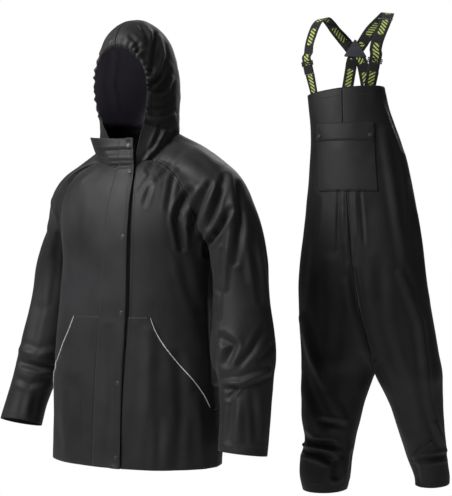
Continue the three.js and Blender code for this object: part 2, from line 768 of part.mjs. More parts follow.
// Seats a flat-backed piece on the cell of a grid between row and row + 1, at shares of that cell.
function seatOn(mesh, cell, acrossShare, upShare, gap) {
  const [a, b, c, d] = cell;
  const low = a.clone().lerp(b, acrossShare);
  const high = d.clone().lerp(c, acrossShare);
  const normal = b.clone().sub(a).cross(d.clone().sub(a)).add(d.clone().sub(c).cross(b.clone().sub(c))).normalize();
  mesh.position.copy(low.lerp(high, upShare).addScaledVector(normal, gap));
  mesh.quaternion.setFromUnitVectors(point(0, 0, 1), normal);
}

snapLevels.forEach((level, i) => {
  const row = flapGrid.findIndex((cells, j) => j + 1 < flapGrid.length && flapGrid[j + 1][1].z > level);
  const [low, high] = [flapGrid[row], flapGrid[row + 1]];
  const upShare = (level - low[1].z) / (high[1].z - low[1].z);
  const half = low[1].distanceTo(low[2]);
  const snap = snapMesh(jacket, `jacket_snap_${i + 1}`, snapRadius, snapHeight);
  seatOn(snap, [low[1], low[2], high[2], high[1]], 1 - snapInset / half, upShare, snapGap);
});

// Overalls above the crotch: heights of a row at front, side and back, the front seam's place across, how far
// front and back lie from the middle, how far each side reaches, the depth of a leg's ring there, and how much
// of that ring the row is already
const trunkTable = table('frontZ sideZ backZ seamX frontY backY right left depth leg', [
  [638, 638, 638, 44, 0, 0, -184, 250, 116, 1],
  [606, 610, 612, 52, -56, 58, -186, 246, 136, 0.6],
  [570, 570, 570, 56, -108, 110, -187, 238, 136, 0.15],
  [517, 517, 517, 46, -126, 130, -190, 230, 120, 0],
  [448, 448, 448, 30, -134, 136, -193, 215, 120, 0],
  [357, 357, 357, 14, -132, 134, -193, 200, 120, 0],
  [297, 297, 297, 6, -129, 130, -188, 192, 120, 0],
  [222, 222, 222, 0, -125, 122, -178, 184, 120, 0],
  [150, 150, 150, -6, -121, 115, -170, 174, 120, 0],
  [94, 94, 94, -12, -117, 110, -164, 164, 120, 0],
  [42, 42, 42, -17, -113, 106, -159, 153, 120, 0],
  [-6, -6, -6, -21, -109, 103, -156, 143, 120, 0],
  [-56, -56, -56, -25, -104, 98, -153, 126, 120, 0],
  [-110, -110, -110, -28, -98, 92, -155, 106, 120, 0],
  [-158, -158, -156, -31, -92, 86, -161, 88, 120, 0],
  [-216, -212, -176, -34, -84, 80, -166, 76, 120, 0],
]).map((row) => ({ ...row, frontZ: -row.frontZ, sideZ: -row.sideZ, backZ: -row.backZ }));
const pocketFootRow = 9;
const pocketFlapRow = 12;
const pocketHeadRow = 13;
const bibTopRow = trunkTable.length - 1;

// Legs below the crotch; the slope tilts the ring, so many millimetres up for each one back.
const legTables = {
  right: table('z x y width depth backSlope', [
    [-976, -88, -78, 67, 84, 0.03],
    [-940, -90, -70, 77, 92, 0],
    [-893, -90, -60, 79, 94, 0],
    [-833, -81, -46, 77, 98, 0],
    [-770, -81, -34, 90, 104, 0],
    [-720, -79, -20, 97, 108, 0],
    [-666, -74, -6, 109, 114, 0],
  ]),
  left: table('z x y width depth backSlope', [
    [-976, 196, 112, 52, 78, 0.04],
    [-950, 195, 110, 54, 80, 0],
    [-906, 185, 100, 60, 84, 0],
    [-846, 178, 80, 66, 88, 0],
    [-785, 169, 60, 73, 95, 0],
    [-729, 162, 40, 80, 102, 0],
    [-676, 152, 20, 92, 112, 0],
  ]),
};
const legRows = 13;
const bibTopSlope = 0.09;
const pocketHalfWidth = 92;
const pocketColumns = 3;

// One row of half the overalls, from the front seam round the side to the back seam, drawn as two curves
function halfRow(seam, side, depth, leg, z) {
  const half = (seamY, seamZ) => {
    const across = side.x - seam.x;
    const forward = Math.sign(seamY - side.y || -1);
    const start = point(seam.x, seamY, seamZ);
    const startHandle = point(
      mix(roundHandle * across, 0, leg), mix(0, forward * halfRingHandle * depth, leg), 0);
    const endHandle = point(
      0, forward * mix(roundHandle * Math.abs(seamY - side.y), halfRingHandle * depth, leg), 0);
    return { start, startHandle, endHandle };
  };
  const edge = point(side.x, side.y, z.side);
  const front = half(seam.frontY, z.front);
  const back = half(seam.backY, z.back);
  if (seam.backY === seam.frontY) {
    back.startHandle.negate();
    back.endHandle.negate();
  }
  const frontLine = curveLine(front.start, front.startHandle, front.endHandle, edge);
  const backLine = curveLine(edge, back.endHandle, back.startHandle, back.start);
  return { frontLine, backLine };
}

function overallsGrid(side) {
  const sign = side === 'left' ? 1 : -1;
  const legs = legTables[side];
  const rows = evenly(0, legs.length - 1, legRows).map((place) => {
    const leg = between(legs, place);
    const seam = { x: leg.x - sign * leg.width, frontY: leg.y, backY: leg.y };
    const edge = { x: leg.x + sign * leg.width, y: leg.y };
    const { frontLine, backLine } = halfRow(seam, edge, leg.depth, 1, { front: leg.z, side: leg.z, back: leg.z });
    [...frontLine, ...backLine].forEach((p) => {
      p.z += (p.y - leg.y) * leg.backSlope;
    });
    return { frontLine, backLine, pocket: false };
  });
  trunkTable.forEach((row, i) => {
    const seam = { x: row.seamX, frontY: row.frontY, backY: row.backY };
    const { frontLine, backLine } = halfRow(
      seam, { x: row[side], y: 0 }, row.depth, row.leg, { front: row.frontZ, side: row.sideZ, back: row.backZ });
    if (i === bibTopRow) {
      [...frontLine, ...backLine].forEach((p) => {
        p.z += bibTopSlope * (p.x - row.seamX);
      });
    }
    rows.push({ frontLine, backLine, pocket: i >= pocketFootRow });
  });
  return rows.map(({ frontLine, backLine, pocket }, i) => {
    const whole = lengthOf(frontLine);
    const even = (whole * pocketColumns) / overallsColumns;
    const towardsPocket = THREE.MathUtils.smoothstep(i - legRows, 3, pocketFootRow);
    const edge = pocket ? pocketHalfWidth : mix(even, pocketHalfWidth, towardsPocket);
    const front = atDistances(frontLine, [
      ...evenly(0, edge, pocketColumns), ...evenly(edge, whole, overallsColumns - pocketColumns).slice(1)]);
    const back = atDistances(backLine, evenly(0, lengthOf(backLine), overallsColumns));
    return { front, back };
  });
}

const overallsFolds = table('startX startZ endX endZ width height side', [
  [-40, -330, 30, -600, 18, -8, 1],
  [-52, -115, -60, -260, 13, -3, 1],
  [-25, -115, -25, -300, 13, -3, 1],
  [10, -115, 35, -330, 15, -4, 1],
  [120, 60, 165, -300, 26, 5, 1],
  [-165, -480, -110, -640, 24, 6, 1],
  [-110, -640, -60, -760, 22, 5, 1],
  [160, -420, 210, -640, 24, 6, 1],
  [-172, -835, -80, -868, 14, -11, 1],
  [-170, -870, -60, -900, 16, 6, 1],
  [200, -880, 275, -850, 15, -6, 1],
  [-20, -740, -90, -880, 18, -5, 1],
  [110, -700, 190, -860, 18, -5, 1],
  [20, -300, 40, -600, 20, -7, -1],
  [-150, -480, -120, -760, 24, 6, -1],
  [140, -450, 200, -780, 24, 6, -1],
  [-170, -840, -60, -870, 15, -8, -1],
]);
const overallsCloth = newCloth();
const overallsGrids = {};
for (const side of ['right', 'left']) {
  const rows = overallsGrid(side);
  const front = rows.map((row) => row.front);
  const back = rows.map((row) => row.back);
  addGrid(overallsCloth, front, side === 'right', () => `front ${side}`);
  addGrid(overallsCloth, back, side === 'right', () => `back ${side}`);
  overallsGrids[side] = { front, back };
}
findNormals(overallsCloth);
pressFolds(overallsCloth, overallsFolds, overallsTurn);
findNormals(overallsCloth);
for (const side of ['right', 'left']) {
  for (const face of ['front', 'back']) {
    const geometry = pieceGeometry(overallsCloth, (cell) => cell.piece === `${face} ${side}`);
    addPiece(overalls, `overalls_${face}_${side}`, geometry, clothBlack);
  }
}

// Chest pocket and its flap, laid on the bib across the centre seam
const trunkStart = legRows + 1;
const onBib = (cell, from, to) => cell.piece.startsWith('front') && cell.column < pocketColumns
  && cell.row >= trunkStart + from && cell.row < trunkStart + to;
addPiece(overalls, 'overalls_chest_pocket', pieceGeometry(
  overallsCloth, (cell) => onBib(cell, pocketFootRow, pocketHeadRow), { lift: layGap, thick: overlayWall }), pocketBlack);
addPiece(overalls, 'overalls_pocket_flap', pieceGeometry(
  overallsCloth, (cell) => onBib(cell, pocketFlapRow, pocketHeadRow),
  { lift: 2 * layGap + overlayWall, thick: overlayWall }), pocketBlack);

// Snaps near the lower corners of the chest pocket's flap
const flapSnapAcross = 80;
const flapSnapUp = 0.27;
const flapSnapGap = 0.5;
for (const side of ['right', 'left']) {
  const grid = overallsGrids[side].front;
  const row = trunkStart + pocketFlapRow;
  const lift = 2 * (layGap + overlayWall);
  const ids = [[row, 2], [row, 3], [row + 1, 3], [row + 1, 2]];
  const corners = ids.map(([r, c]) => pressed(overallsCloth, grid[r][c], lift));
  const share = (flapSnapAcross * pocketColumns) / pocketHalfWidth - (pocketColumns - 1);
  const [a, b, c, d] = corners;
  const cell = side === 'left' ? [a, b, c, d] : [b, a, d, c];
  const snap = snapMesh(overalls, `overalls_flap_snap_${side}`, snapRadius, snapHeight);
  seatOn(snap, cell, side === 'left' ? share : 1 - share, flapSnapUp, flapSnapGap);
}

// Braces: flat woven bands. Each upper band runs from its adjuster over the shoulder, crosses the other behind
// the back patch and ends on the back's top edge. face is the way that the band's outer side looks.
const braceWidth = 36;
const braceThick = 1.6;
const patchThick = 2.6;
const patchFront = 97.6;
const crossing = patchFront + patchThick + layGap;
const overCrossing = crossing + braceThick + layGap;
const braceTables = {
  right: table('x y z faceX faceY faceZ', [
    [-144, -68.2, 303.6, -0.45, -0.9, 0],
    [-143, -61, 342, -0.45, -0.9, 0.1],
    [-139, -46, 376, -0.35, -0.85, 0.4],
    [-130, -20, 418, -0.2, -0.5, 0.85],
    [-116, 20, 439, 0, 0.2, 1],
    [-98, 68, 410, 0, 0.7, 0.7],
    [-78, crossing - 3, 382, -0.1, 0.95, 0.3],
    [-66, crossing, 367, 0, 1, 0],
    [-50, crossing, 347, 0, 1, 0],
    [-26, crossing, 320, 0, 1, 0],
    [-15, crossing, 285, 0, 1, 0],
    [-6, 94, 240, 0, 1, 0.1],
  ]),
  left: table('x y z faceX faceY faceZ', [
    [62, -73.3, 302.8, 0.3, -1, 0],
    [67, -74, 336, 0.25, -1, 0.1],
    [73, -66, 362, 0.2, -0.9, 0.4],
    [84, -42, 403, 0.15, -0.6, 0.8],
    [86, -6, 436, 0.1, -0.2, 1],
    [76, 20, 443, 0, 0.3, 1],
    [54, 46, 431, 0, 0.6, 0.8],
    [18, 76, 409, 0, 0.8, 0.6],
    [-8, overCrossing - 4, 387, 0.1, 0.95, 0.3],
    [-20, overCrossing, 371, 0, 1, 0],
    [-35, overCrossing, 351, 0, 1, 0],
    [-52, overCrossing, 322, 0, 1, 0],
    [-59, overCrossing, 285, 0, 1, 0],
    [-65, 96, 240, 0, 1, 0.1],
  ]),
};
const lowerBraces = {
  right: { footX: -134, head: point(-140, -61, 262), face: point(-0.45, -0.9, 0) },
  left: { footX: 47, head: point(54, -63, 262), face: point(0.3, -1, 0) },
};
const braceFeetX = { right: 5, left: -70 };
const footReach = 14;
const footRise = 3;
const footBow = 2.6;

// A place behind the top edge of the overalls, so far across and so far below the edge. A band is flat and the
// cloth is curved, so the band's middle keeps a little further off than its edges.
function behindEdge(face, x, below) {
  const side = x > trunkTable[bibTopRow].seamX ? 'left' : 'right';
  const [top, under] = [overallsGrids[side][face].at(-1), overallsGrids[side][face].at(-2)];
  const column = top.findIndex((p, i) => i + 1 < top.length && (p.x - x) * (top[i + 1].x - x) <= 0);
  const share = (x - top[column].x) / (top[column + 1].x - top[column].x);
  const [high, low] = [top, under].map((row) => (
    pressed(overallsCloth, row[column], 0).lerp(pressed(overallsCloth, row[column + 1], 0), share)));
  const [normal, next] = [column, column + 1].map((i) => overallsCloth.normals[cornerOf(overallsCloth, top[i])]);
  const out = normal.clone().lerp(next, share).normalize();
  const place = high.clone().lerp(low, below / high.distanceTo(low));
  return { place: place.addScaledVector(out, -(wall + layGap + braceThick + footBow)), out };
}
const braceSteps = 22;
const loopLength = 24;
const loopThick = 5;
const loopWidth = 34;
const adjusterWidth = 44;
const adjusterLength = 15;
const adjusterThick = 4;
const adjusterBar = 2.6;
const straightStart = 10;
const rivetRadius = 2.6;
const rivetHeight = 1.2;
const rivetSpacing = 14;
const rivetReach = 10;
const rivetGap = 0.9;

// A flat frame with two slots, its length along way and its face along face
function adjusterMesh(name, place, way, face) {
  const [w, l] = [adjusterWidth / 2, adjusterLength / 2];
  const outline = new THREE.Shape([[-w, -l], [w, -l], [w, l], [-w, l]].map(([x, y]) => new THREE.Vector2(x, y)));
  for (const sign of [-1, 1]) {
    const near = sign * (adjusterBar / 2);
    const far = sign * (l - adjusterBar);
    const slot = [[-w + adjusterBar, near], [w - adjusterBar, near], [w - adjusterBar, far], [-w + adjusterBar, far]];
    outline.holes.push(new THREE.Path(slot.map(([x, y]) => new THREE.Vector2(x, y))));
  }
  const geometry = new THREE.ExtrudeGeometry(outline, { depth: adjusterThick, bevelEnabled: false });
  const mesh = addPiece(overalls, name, geometry, snapBlack);
  const across = way.clone().cross(face).normalize();
  const out = across.clone().cross(way).normalize();
  mesh.quaternion.setFromRotationMatrix(new THREE.Matrix4().makeBasis(across, way, out));
  mesh.position.copy(place);
}

for (const side of ['right', 'left']) {
  const rows = braceTables[side];
  const { footX, head, face } = lowerBraces[side];
  const foot = behindEdge('front', footX, footReach);
  const rim = behindEdge('front', footX, -footRise);
  addPiece(overalls, `overalls_brace_lower_${side}`,
    bandGeometry([foot.place, rim.place, head], [foot.out, rim.out, face], braceWidth, braceThick), webbingBlack);
  const way = head.clone().sub(rim.place).normalize();
  const loopFoot = head.clone().addScaledVector(way, layGap);
  const loopHead = loopFoot.clone().addScaledVector(way, loopLength);
  addPiece(overalls, `overalls_brace_loop_${side}`,
    bandGeometry([loopFoot, loopHead], [face, face], loopWidth, loopThick), loopGrey);
  const middle = loopHead.clone().addScaledVector(way, layGap + adjusterLength / 2);
  adjusterMesh(`overalls_adjuster_${side}`, middle, way, face);

  const path = evenly(0, rows.length - 1, braceSteps).map((place) => between(rows, place));
  const line = path.map(({ x, y, z }) => point(x, y, z));
  const faces = path.map(({ faceX, faceY, faceZ }) => point(faceX, faceY, faceZ));
  const start = middle.clone().addScaledVector(way, adjusterLength / 2 + layGap);
  line.splice(0, 1, start, start.clone().addScaledVector(way, straightStart));
  faces.splice(0, 1, face, face);
  const backRim = behindEdge('back', braceFeetX[side], -footRise);
  const backFoot = behindEdge('back', braceFeetX[side], footReach);
  line.push(backRim.place, backFoot.place);
  faces.push(backRim.out, backFoot.out);
  addPiece(overalls, `overalls_brace_${side}`, bandGeometry(line, faces, braceWidth, braceThick), webbingBlack);

  // Two rivets hold the foot of the left brace, on its inner side.
  if (side === 'left') {
    const [above, below] = line.slice(-3, -1);
    const down = below.clone().sub(above).normalize();
    const out = faces.at(-3).clone();
    out.addScaledVector(down, -out.dot(down)).normalize();
    const across = down.clone().cross(out);
    [-0.5, 0.5].forEach((share, i) => {
      const rivet = snapMesh(overalls, `overalls_brace_rivet_${i + 1}`, rivetRadius, rivetHeight);
      rivet.quaternion.setFromUnitVectors(point(0, 0, 1), out.clone().negate());
      rivet.position.copy(above).addScaledVector(down, rivetReach)
        .addScaledVector(across, share * rivetSpacing).addScaledVector(out, -rivetGap);
    });
  }
}

// A metal slider lies across the outer side of the left brace where it bends over the shoulder.
const sliderLength = 43;
const sliderRadius = 1.8;
const sliderGap = 2;
const sliderShare = 0.35;
{
  const row = braceTables.left[3];
  const next = braceTables.left[4];
  const way = point(next.x - row.x, next.y - row.y, next.z - row.z).normalize();
  const face = point(row.faceX, row.faceY, row.faceZ);
  face.addScaledVector(way, -face.dot(way)).normalize();
  const across = way.clone().cross(face);
  const middle = point(row.x, row.y, row.z).lerp(point(next.x, next.y, next.z), sliderShare)
    .addScaledVector(face, braceThick + sliderRadius + sliderGap);
  const ends = [-0.5, 0.5].map((share) => middle.clone().addScaledVector(across, share * sliderLength));
  addPiece(overalls, 'overalls_brace_slider', barGeometry(ends, sliderRadius, 8), sliderSteel);
}

// Back patch: a three-cornered plate with round corners, in front of the crossing
const patchTop = { x: -42, z: 386 };
const patchLeftFoot = { x: -80, z: 332 };
const patchRightFoot = { x: -4, z: 326 };
const patchCorner = 7;
{
  const corners = [patchTop, patchRightFoot, patchLeftFoot].map(({ x, z }) => new THREE.Vector2(x, z));
  const outline = new THREE.Shape();
  corners.forEach((corner, i) => {
    const before = corners[(i + 2) % 3].clone().sub(corner).setLength(patchCorner).add(corner);
    const after = corners[(i + 1) % 3].clone().sub(corner).setLength(patchCorner).add(corner);
    if (i === 0) {
      outline.moveTo(before.x, before.y);
    } else {
      outline.lineTo(before.x, before.y);
    }
    outline.quadraticCurveTo(corner.x, corner.y, after.x, after.y);
  });
  const geometry = new THREE.ExtrudeGeometry(outline, { depth: patchThick, bevelEnabled: false, curveSegments: 4 });
  geometry.rotateX(Math.PI / 2);
  const patch = addPiece(overalls, 'overalls_back_patch', geometry, patchGrey);
  patch.position.y = patchFront + patchThick;
}

export default rainSuit;
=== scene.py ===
# Rain suit: a hooded jacket and bib overalls in black coated cloth, hollow and filled out as when worn.
# Metres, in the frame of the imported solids. Folds are placed as they are seen from the front.
import math
import bmesh
import bpy
import numpy as np
from mathutils import Matrix, Vector, kdtree, noise


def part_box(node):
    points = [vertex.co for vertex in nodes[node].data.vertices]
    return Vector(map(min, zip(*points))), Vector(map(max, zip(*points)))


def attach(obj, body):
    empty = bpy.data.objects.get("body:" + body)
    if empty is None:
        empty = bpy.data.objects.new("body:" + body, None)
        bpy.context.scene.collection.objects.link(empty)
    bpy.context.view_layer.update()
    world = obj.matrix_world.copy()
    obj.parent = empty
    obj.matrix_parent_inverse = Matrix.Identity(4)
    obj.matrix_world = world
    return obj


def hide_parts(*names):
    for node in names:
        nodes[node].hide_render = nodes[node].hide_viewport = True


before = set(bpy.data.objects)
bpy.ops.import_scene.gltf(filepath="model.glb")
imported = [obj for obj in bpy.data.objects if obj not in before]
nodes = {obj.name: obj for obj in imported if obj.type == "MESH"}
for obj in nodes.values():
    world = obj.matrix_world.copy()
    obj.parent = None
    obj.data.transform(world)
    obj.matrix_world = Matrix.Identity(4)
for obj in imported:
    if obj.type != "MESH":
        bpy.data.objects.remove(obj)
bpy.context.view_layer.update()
mm = 0.001

view = {
    "place": (0.258, -4.0, -0.261),
    "lens": 100.0,
    "sensor": 36.0,
    "nearFade": (-0.05, 0.25),      # how far a surface turns to the camera before a fold shows on it
}
viewPlace = Vector(view["place"])


def clearSelection():
    bpy.ops.object.select_all(action="DESELECT")


def makeActive(obj):
    clearSelection()
    obj.select_set(True)
    bpy.context.view_layer.objects.active = obj


def applyModifier(obj, kind, **settings):
    makeActive(obj)
    modifier = obj.modifiers.new(kind.title(), kind)
    for name, value in settings.items():
        setattr(modifier, name, value)
    bpy.ops.object.modifier_apply(modifier=modifier.name)


def newObject(name, mesh):
    obj = bpy.data.objects.new(name, mesh)
    bpy.context.scene.collection.objects.link(obj)
    return obj


def smoothStep(value, low, high):
    share = np.clip((value - low) / (high - low), 0, 1)
    return share * share * (3 - 2 * share)


def coordsOf(mesh):
    flat = np.empty(len(mesh.vertices) * 3)
    mesh.vertices.foreach_get("co", flat)
    return flat.reshape(-1, 3)


def normalsOf(mesh):
    flat = np.empty(len(mesh.vertices) * 3)
    mesh.vertex_normals.foreach_get("vector", flat)
    return flat.reshape(-1, 3)


def setCoords(mesh, coords):
    mesh.vertices.foreach_set("co", coords.ravel())
    mesh.update()


def addNumbers(mesh, name, values):
    layer = mesh.attributes.new(name, "FLOAT", "POINT")
    layer.data.foreach_set("value", np.asarray(values, dtype=np.float32))


# Cloth from the solids: the outer side of each wall, joined where pieces meet
clothMake = {
    "rimTolerance": 0.04 * mm,
    "seamReach": 1.4 * mm,
    "quadAngle": 0.9,
    "levels": 3,
}


def outerSide(nodeName, thick):
    bm = bmesh.new()
    bm.from_mesh(nodes[nodeName].data)
    bmesh.ops.remove_doubles(bm, verts=bm.verts, dist=0.02 * mm)
    rim = [face for face in bm.faces
           if any(abs(edge.calc_length() - thick) < clothMake["rimTolerance"] for edge in face.edges)]
    bmesh.ops.delete(bm, geom=rim, context="FACES")
    left = set(bm.faces)
    sides = []
    while left:
        stack = [left.pop()]
        side = set(stack)
        while stack:
            for edge in stack.pop().edges:
                for face in edge.link_faces:
                    if face in left:
                        left.remove(face)
                        side.add(face)
                        stack.append(face)
        sides.append(side)
    sides.sort(key=lambda side: -len(side))
    pair = sides[:2]
    outer = max(pair, key=lambda side: outwardArea(nodeName, side))
    polygons = [[tuple(vert.co) for vert in face.verts] for face in outer]
    bm.free()
    return polygons


axes = {"jacket": Vector((0.0, 0.0, 0.0)), "overalls": Vector((0.663, 0.150, 0.0))}


def outwardArea(nodeName, side):
    if "sleeve" in nodeName:
        return sum(face.calc_area() for face in side)
    axis = axes["jacket" if nodeName.startswith("jacket") else "overalls"]
    total = 0.0
    for face in side:
        middle = face.calc_center_median()
        away = Vector((middle.x - axis.x, middle.y - axis.y, 0.0))
        total += face.normal.dot(away) * face.calc_area()
    return total


def tuckEdges(bm, tuck):
    # the edges beside a seam run on under the cloth that they are sewn to
    low = [edge for edge in bm.edges if edge.is_boundary
           and max(tuck["line"].find(vert.co)[2] for vert in edge.verts) < tuck["reach"]]
    made = bmesh.ops.extrude_edge_only(bm, edges=low)["geom"]
    for vert in made:
        if not isinstance(vert, bmesh.types.BMVert):
            continue
        inward = Vector((-vert.co.x, -vert.co.y, 0.0)).normalized() * tuck["inward"]
        vert.co += inward - Vector((0.0, 0.0, tuck["down"]))


def joinedCloth(name, nodeNames, thick, levels=None, tuck=None):
    bm = bmesh.new()
    for index, nodeName in enumerate(nodeNames):
        for polygon in outerSide(nodeName, thick):
            face = bm.faces.new([bm.verts.new(place) for place in polygon])
            face.material_index = index
    bmesh.ops.remove_doubles(bm, verts=bm.verts, dist=clothMake["seamReach"])
    bmesh.ops.join_triangles(
        bm, faces=bm.faces[:], cmp_materials=True,
        angle_face_threshold=clothMake["quadAngle"], angle_shape_threshold=math.pi)
    if tuck:
        tuckEdges(bm, tuck)
    mesh = bpy.data.meshes.new(name)
    bm.to_mesh(mesh)
    bm.free()
    obj = newObject(name, mesh)
    levels = clothMake["levels"] if levels is None else levels
    applyModifier(obj, "SUBSURF", levels=levels, render_levels=levels, boundary_smooth="PRESERVE_CORNERS")
    return obj


def seamLines(mesh):
    # the seams between pieces and the free edges, as short straight pieces
    users = {}
    for polygon in mesh.polygons:
        for key in polygon.edge_keys:
            users.setdefault(key, []).append(polygon.material_index)
    seams = [key for key, used in users.items() if len(used) == 2 and used[0] != used[1]]
    hems = [key for key, used in users.items() if len(used) == 1]
    return seams, hems


def distancesTo(coords, keys, parts=4):
    if not keys:
        return np.full(len(coords), 1.0)
    tree = kdtree.KDTree(len(keys) * parts)
    for index, (a, b) in enumerate(keys):
        for step in range(parts):
            place = coords[a] + (coords[b] - coords[a]) * (step / parts)
            tree.insert(Vector(place), index * parts + step)
    tree.balance()
    return np.array([tree.find(Vector(place))[2] for place in coords])


# Folds: each has its height and width in millimetres and its line in the plane through the jacket's neck
jacketFolds = [
    (-9, 9, [(-331, -595), (-282, -608), (-244, -608)]),
    (-4, 3.5, [(-14, -60), (-22, -200), (-26, -450), (-42, -650), (-52, -860)]),
    (5, 12, [(-340, -557), (-288, -575), (-244, -563)]),
    (-4, 10, [(-357, -635), (-311, -656), (-265, -644)]),
    (-6, 8, [(-259, -133), (-241, -200)]),
    (4, 14, [(-247, -93), (-253, -238), (-276, -412)]),
    (-4, 12, [(-262, -302), (-288, -441), (-311, -543)]),
    (3, 10, [(-311, -688), (-323, -749)]),
    (-2, 16, [(-180, -93), (-189, -296), (-195, -412)]),
    (4, 14, [(-206, -679), (-201, -865)]),
    (-4, 12, [(-169, -644), (-163, -876)]),
    (-3, 8, [(-131, -20), (-163, -46), (-192, -72)]),
    (-9, 9, [(151, -96), (119, -148), (113, -180), (129, -261)]),
    (-8, 9, [(209, -78), (180, -127), (156, -206)]),
    (-8, 9, [(251, -58), (232, -127), (206, -197)]),
    (-13, 8, [(270, -151), (235, -206), (200, -255), (200, -278)]),
    (5, 8, [(177, -93), (142, -165), (145, -244)]),
    (5, 8, [(226, -81), (203, -145), (180, -215)]),
    (-3, 8, [(112, -37), (101, -75), (89, -145)]),
    (-2.5, 7, [(75, -17), (37, -52), (8, -93)]),
    (-3, 7, [(37, -81), (20, -133)]),
    (5, 10, [(270, -40), (275, -148), (262, -270), (249, -374)]),
    (4, 10, [(316, -165), (319, -270), (331, -357)]),
    (4, 10, [(331, -217), (354, -287), (374, -412)]),
    (-6, 9, [(293, -78), (299, -194), (287, -302)]),
    (-4, 9, [(336, -194), (345, -302), (357, -412)]),
    (-5, 8, [(246, -273), (238, -383), (235, -470)]),
    (7, 9, [(255, -653), (302, -653), (380, -621)]),
    (-10, 12, [(246, -522), (278, -543), (258, -592)]),
    (-7, 7, [(261, -670), (287, -667), (267, -696)]),
    (-5, 9, [(368, -493), (333, -557), (299, -598)]),
    (-4, 8, [(392, -545), (357, -592)]),
    (4, 12, [(299, -708), (293, -818)]),
    (-4, 10, [(336, -685), (345, -818)]),
    (-4, 10, [(275, -717), (264, -818)]),
    (-3, 14, [(127, -273), (153, -383), (183, -456)]),
    (3, 16, [(37, -505), (32, -702), (8, -876)]),
    (-4, 14, [(119, -572), (127, -746), (113, -894)]),
    (4, 12, [(171, -696), (185, -894)]),
    (-3, 10, [(66, -760), (61, -894)]),
    (-3, 12, [(-79, -499), (-73, -702), (-85, -882)]),
    (-6, 10, [(217, -412), (223, -528), (220, -650)]),
    (3, 12, [(174, 23), (229, -20)]),
    (-4, 8, [(98, 50), (61, 15), (32, -35)]),
    (-3, 9, [(130, 23), (98, -20), (61, -58)]),
]
jacketBackFolds = [
    (-6, 14, [(-150, -120), (-110, -260), (-118, -400)]),
    (4, 14, [(-120, -110), (-70, -280)]),
    (-7, 12, [(190, -130), (140, -240), (120, -380)]),
    (4, 16, [(60, -200), (50, -480), (70, -700)]),
    (-5, 18, [(0, -330), (-20, -600), (-10, -880)]),
    (5, 16, [(120, -450), (130, -700), (150, -890)]),
    (-5, 14, [(-170, -500), (-150, -700), (-160, -880)]),
    (-8, 10, [(-330, -585), (-290, -610), (-240, -600)]),
    (6, 10, [(-345, -640), (-290, -650), (-255, -640)]),
    (-8, 10, [(250, -600), (300, -625), (375, -600)]),
    (6, 10, [(255, -570), (310, -580), (380, -560)]),
    (-5, 10, [(300, -170), (310, -300), (300, -420)]),
    (-4, 10, [(-280, -180), (-300, -320), (-290, -430)]),
]
neckFolds = [
    (-3.5, 5, [(-99, 21), (-56, 23), (-12, 23)]),
    (-3.5, 5, [(-99, -26), (-56, -23), (-6, -23)]),
    (2.5, 5, [(-85, 0), (-50, 0), (-9, 0)]),
    (2, 4, [(-70, -43), (-18, -37)]),
    (-3, 6, [(-108, 21), (-85, -14)]),
]
hoodFolds = [
    (5, 7, [(66, 349), (75, 299), (63, 262), (37, 230)]),
    (-5.5, 6, [(51, 360), (48, 308), (40, 253)]),
    (-4.5, 5, [(66, 241), (37, 212)]),
    (4, 5, [(75, 233), (48, 203)]),
    (-4.5, 6, [(94, 259), (81, 227), (55, 192)]),
    (4.5, 6, [(101, 233), (87, 199), (66, 183), (40, 186)]),
    (-4, 6, [(-19, 352), (4, 331), (0, 308)]),
    (-4, 6, [(101, 169), (66, 145), (37, 145)]),
    (4, 6, [(107, 125), (72, 111), (37, 116)]),
    (-5, 6, [(95, 87), (61, 93), (26, 105)]),
    (-3, 6, [(8, 389), (26, 360), (34, 328)]),
    (3, 7, [(29, 381), (52, 343)]),
    (-2.5, 5, [(-73, 360), (-90, 337)]),
    (4, 5, [(81, 79), (66, 53)]),
    (5, 6, [(58, 38), (23, -8)]),
    (-5, 6, [(69, 90), (43, 23)]),
]
hoodBackFolds = [
    (-4, 10, [(40, 330), (60, 240), (50, 150)]),
    (-5, 9, [(-60, 300), (-75, 220), (-60, 140)]),
    (4, 9, [(-20, 120), (20, 100), (60, 110)]),
    (-5, 8, [(-50, 90), (0, 70), (60, 84)]),
]
overallsFolds = [
    (-3, 4, [(585, -98), (580, -273)]),
    (2.5, 4, [(599, -98), (598, -252)]),
    (-3.5, 4, [(615, -98), (621, -273)]),
    (-3, 5, [(647, -98), (659, -244)]),
    (2, 4, [(632, -98), (638, -223)]),
    (5, 12, [(717, 79), (760, -200), (778, -302)]),
    (-9, 9, [(624, -328), (638, -426), (662, -502), (685, -580)]),
    (4, 10, [(603, -368), (618, -470), (653, -557)]),
    (6, 12, [(476, -464), (511, -580), (560, -688), (598, -760)]),
    (-4.5, 12, [(467, -528), (496, -659), (548, -775)]),
    (6, 11, [(766, -334), (821, -476), (850, -711), (885, -818)]),
    (-4, 14, [(720, -499), (763, -644), (798, -789)]),
    (-12, 9, [(482, -847), (531, -862), (572, -882), (574, -923)]),
    (-7, 9, [(487, -807), (508, -830), (566, -833)]),
    (6, 9, [(479, -833), (525, -845), (583, -853)]),
    (-4, 8, [(531, -763), (595, -775)]),
    (5, 5, [(804, -868), (821, -845), (850, -824)]),
    (-7, 7, [(821, -876), (865, -871), (905, -862)]),
    (-4, 6, [(810, -891), (818, -946)]),
    (5, 8, [(862, -772), (897, -847)]),
    (-3, 12, [(508, -122), (490, -296), (473, -441)]),
    (4, 18, [(560, -302), (554, -499), (537, -644)]),
    (3, 10, [(603, -156), (612, -319)]),
    (-3, 16, [(705, -302), (717, -499)]),
    (-3, 7, [(722, 169), (752, 87), (775, 23)]),
    (-2.5, 8, [(525, -122), (513, -238)]),
    (3, 10, [(815, -165), (833, -302), (850, -412)]),
    (-3, 9, [(792, -64), (801, -209), (810, -325)]),
    (-5, 10, [(630, -862), (624, -934)]),
]
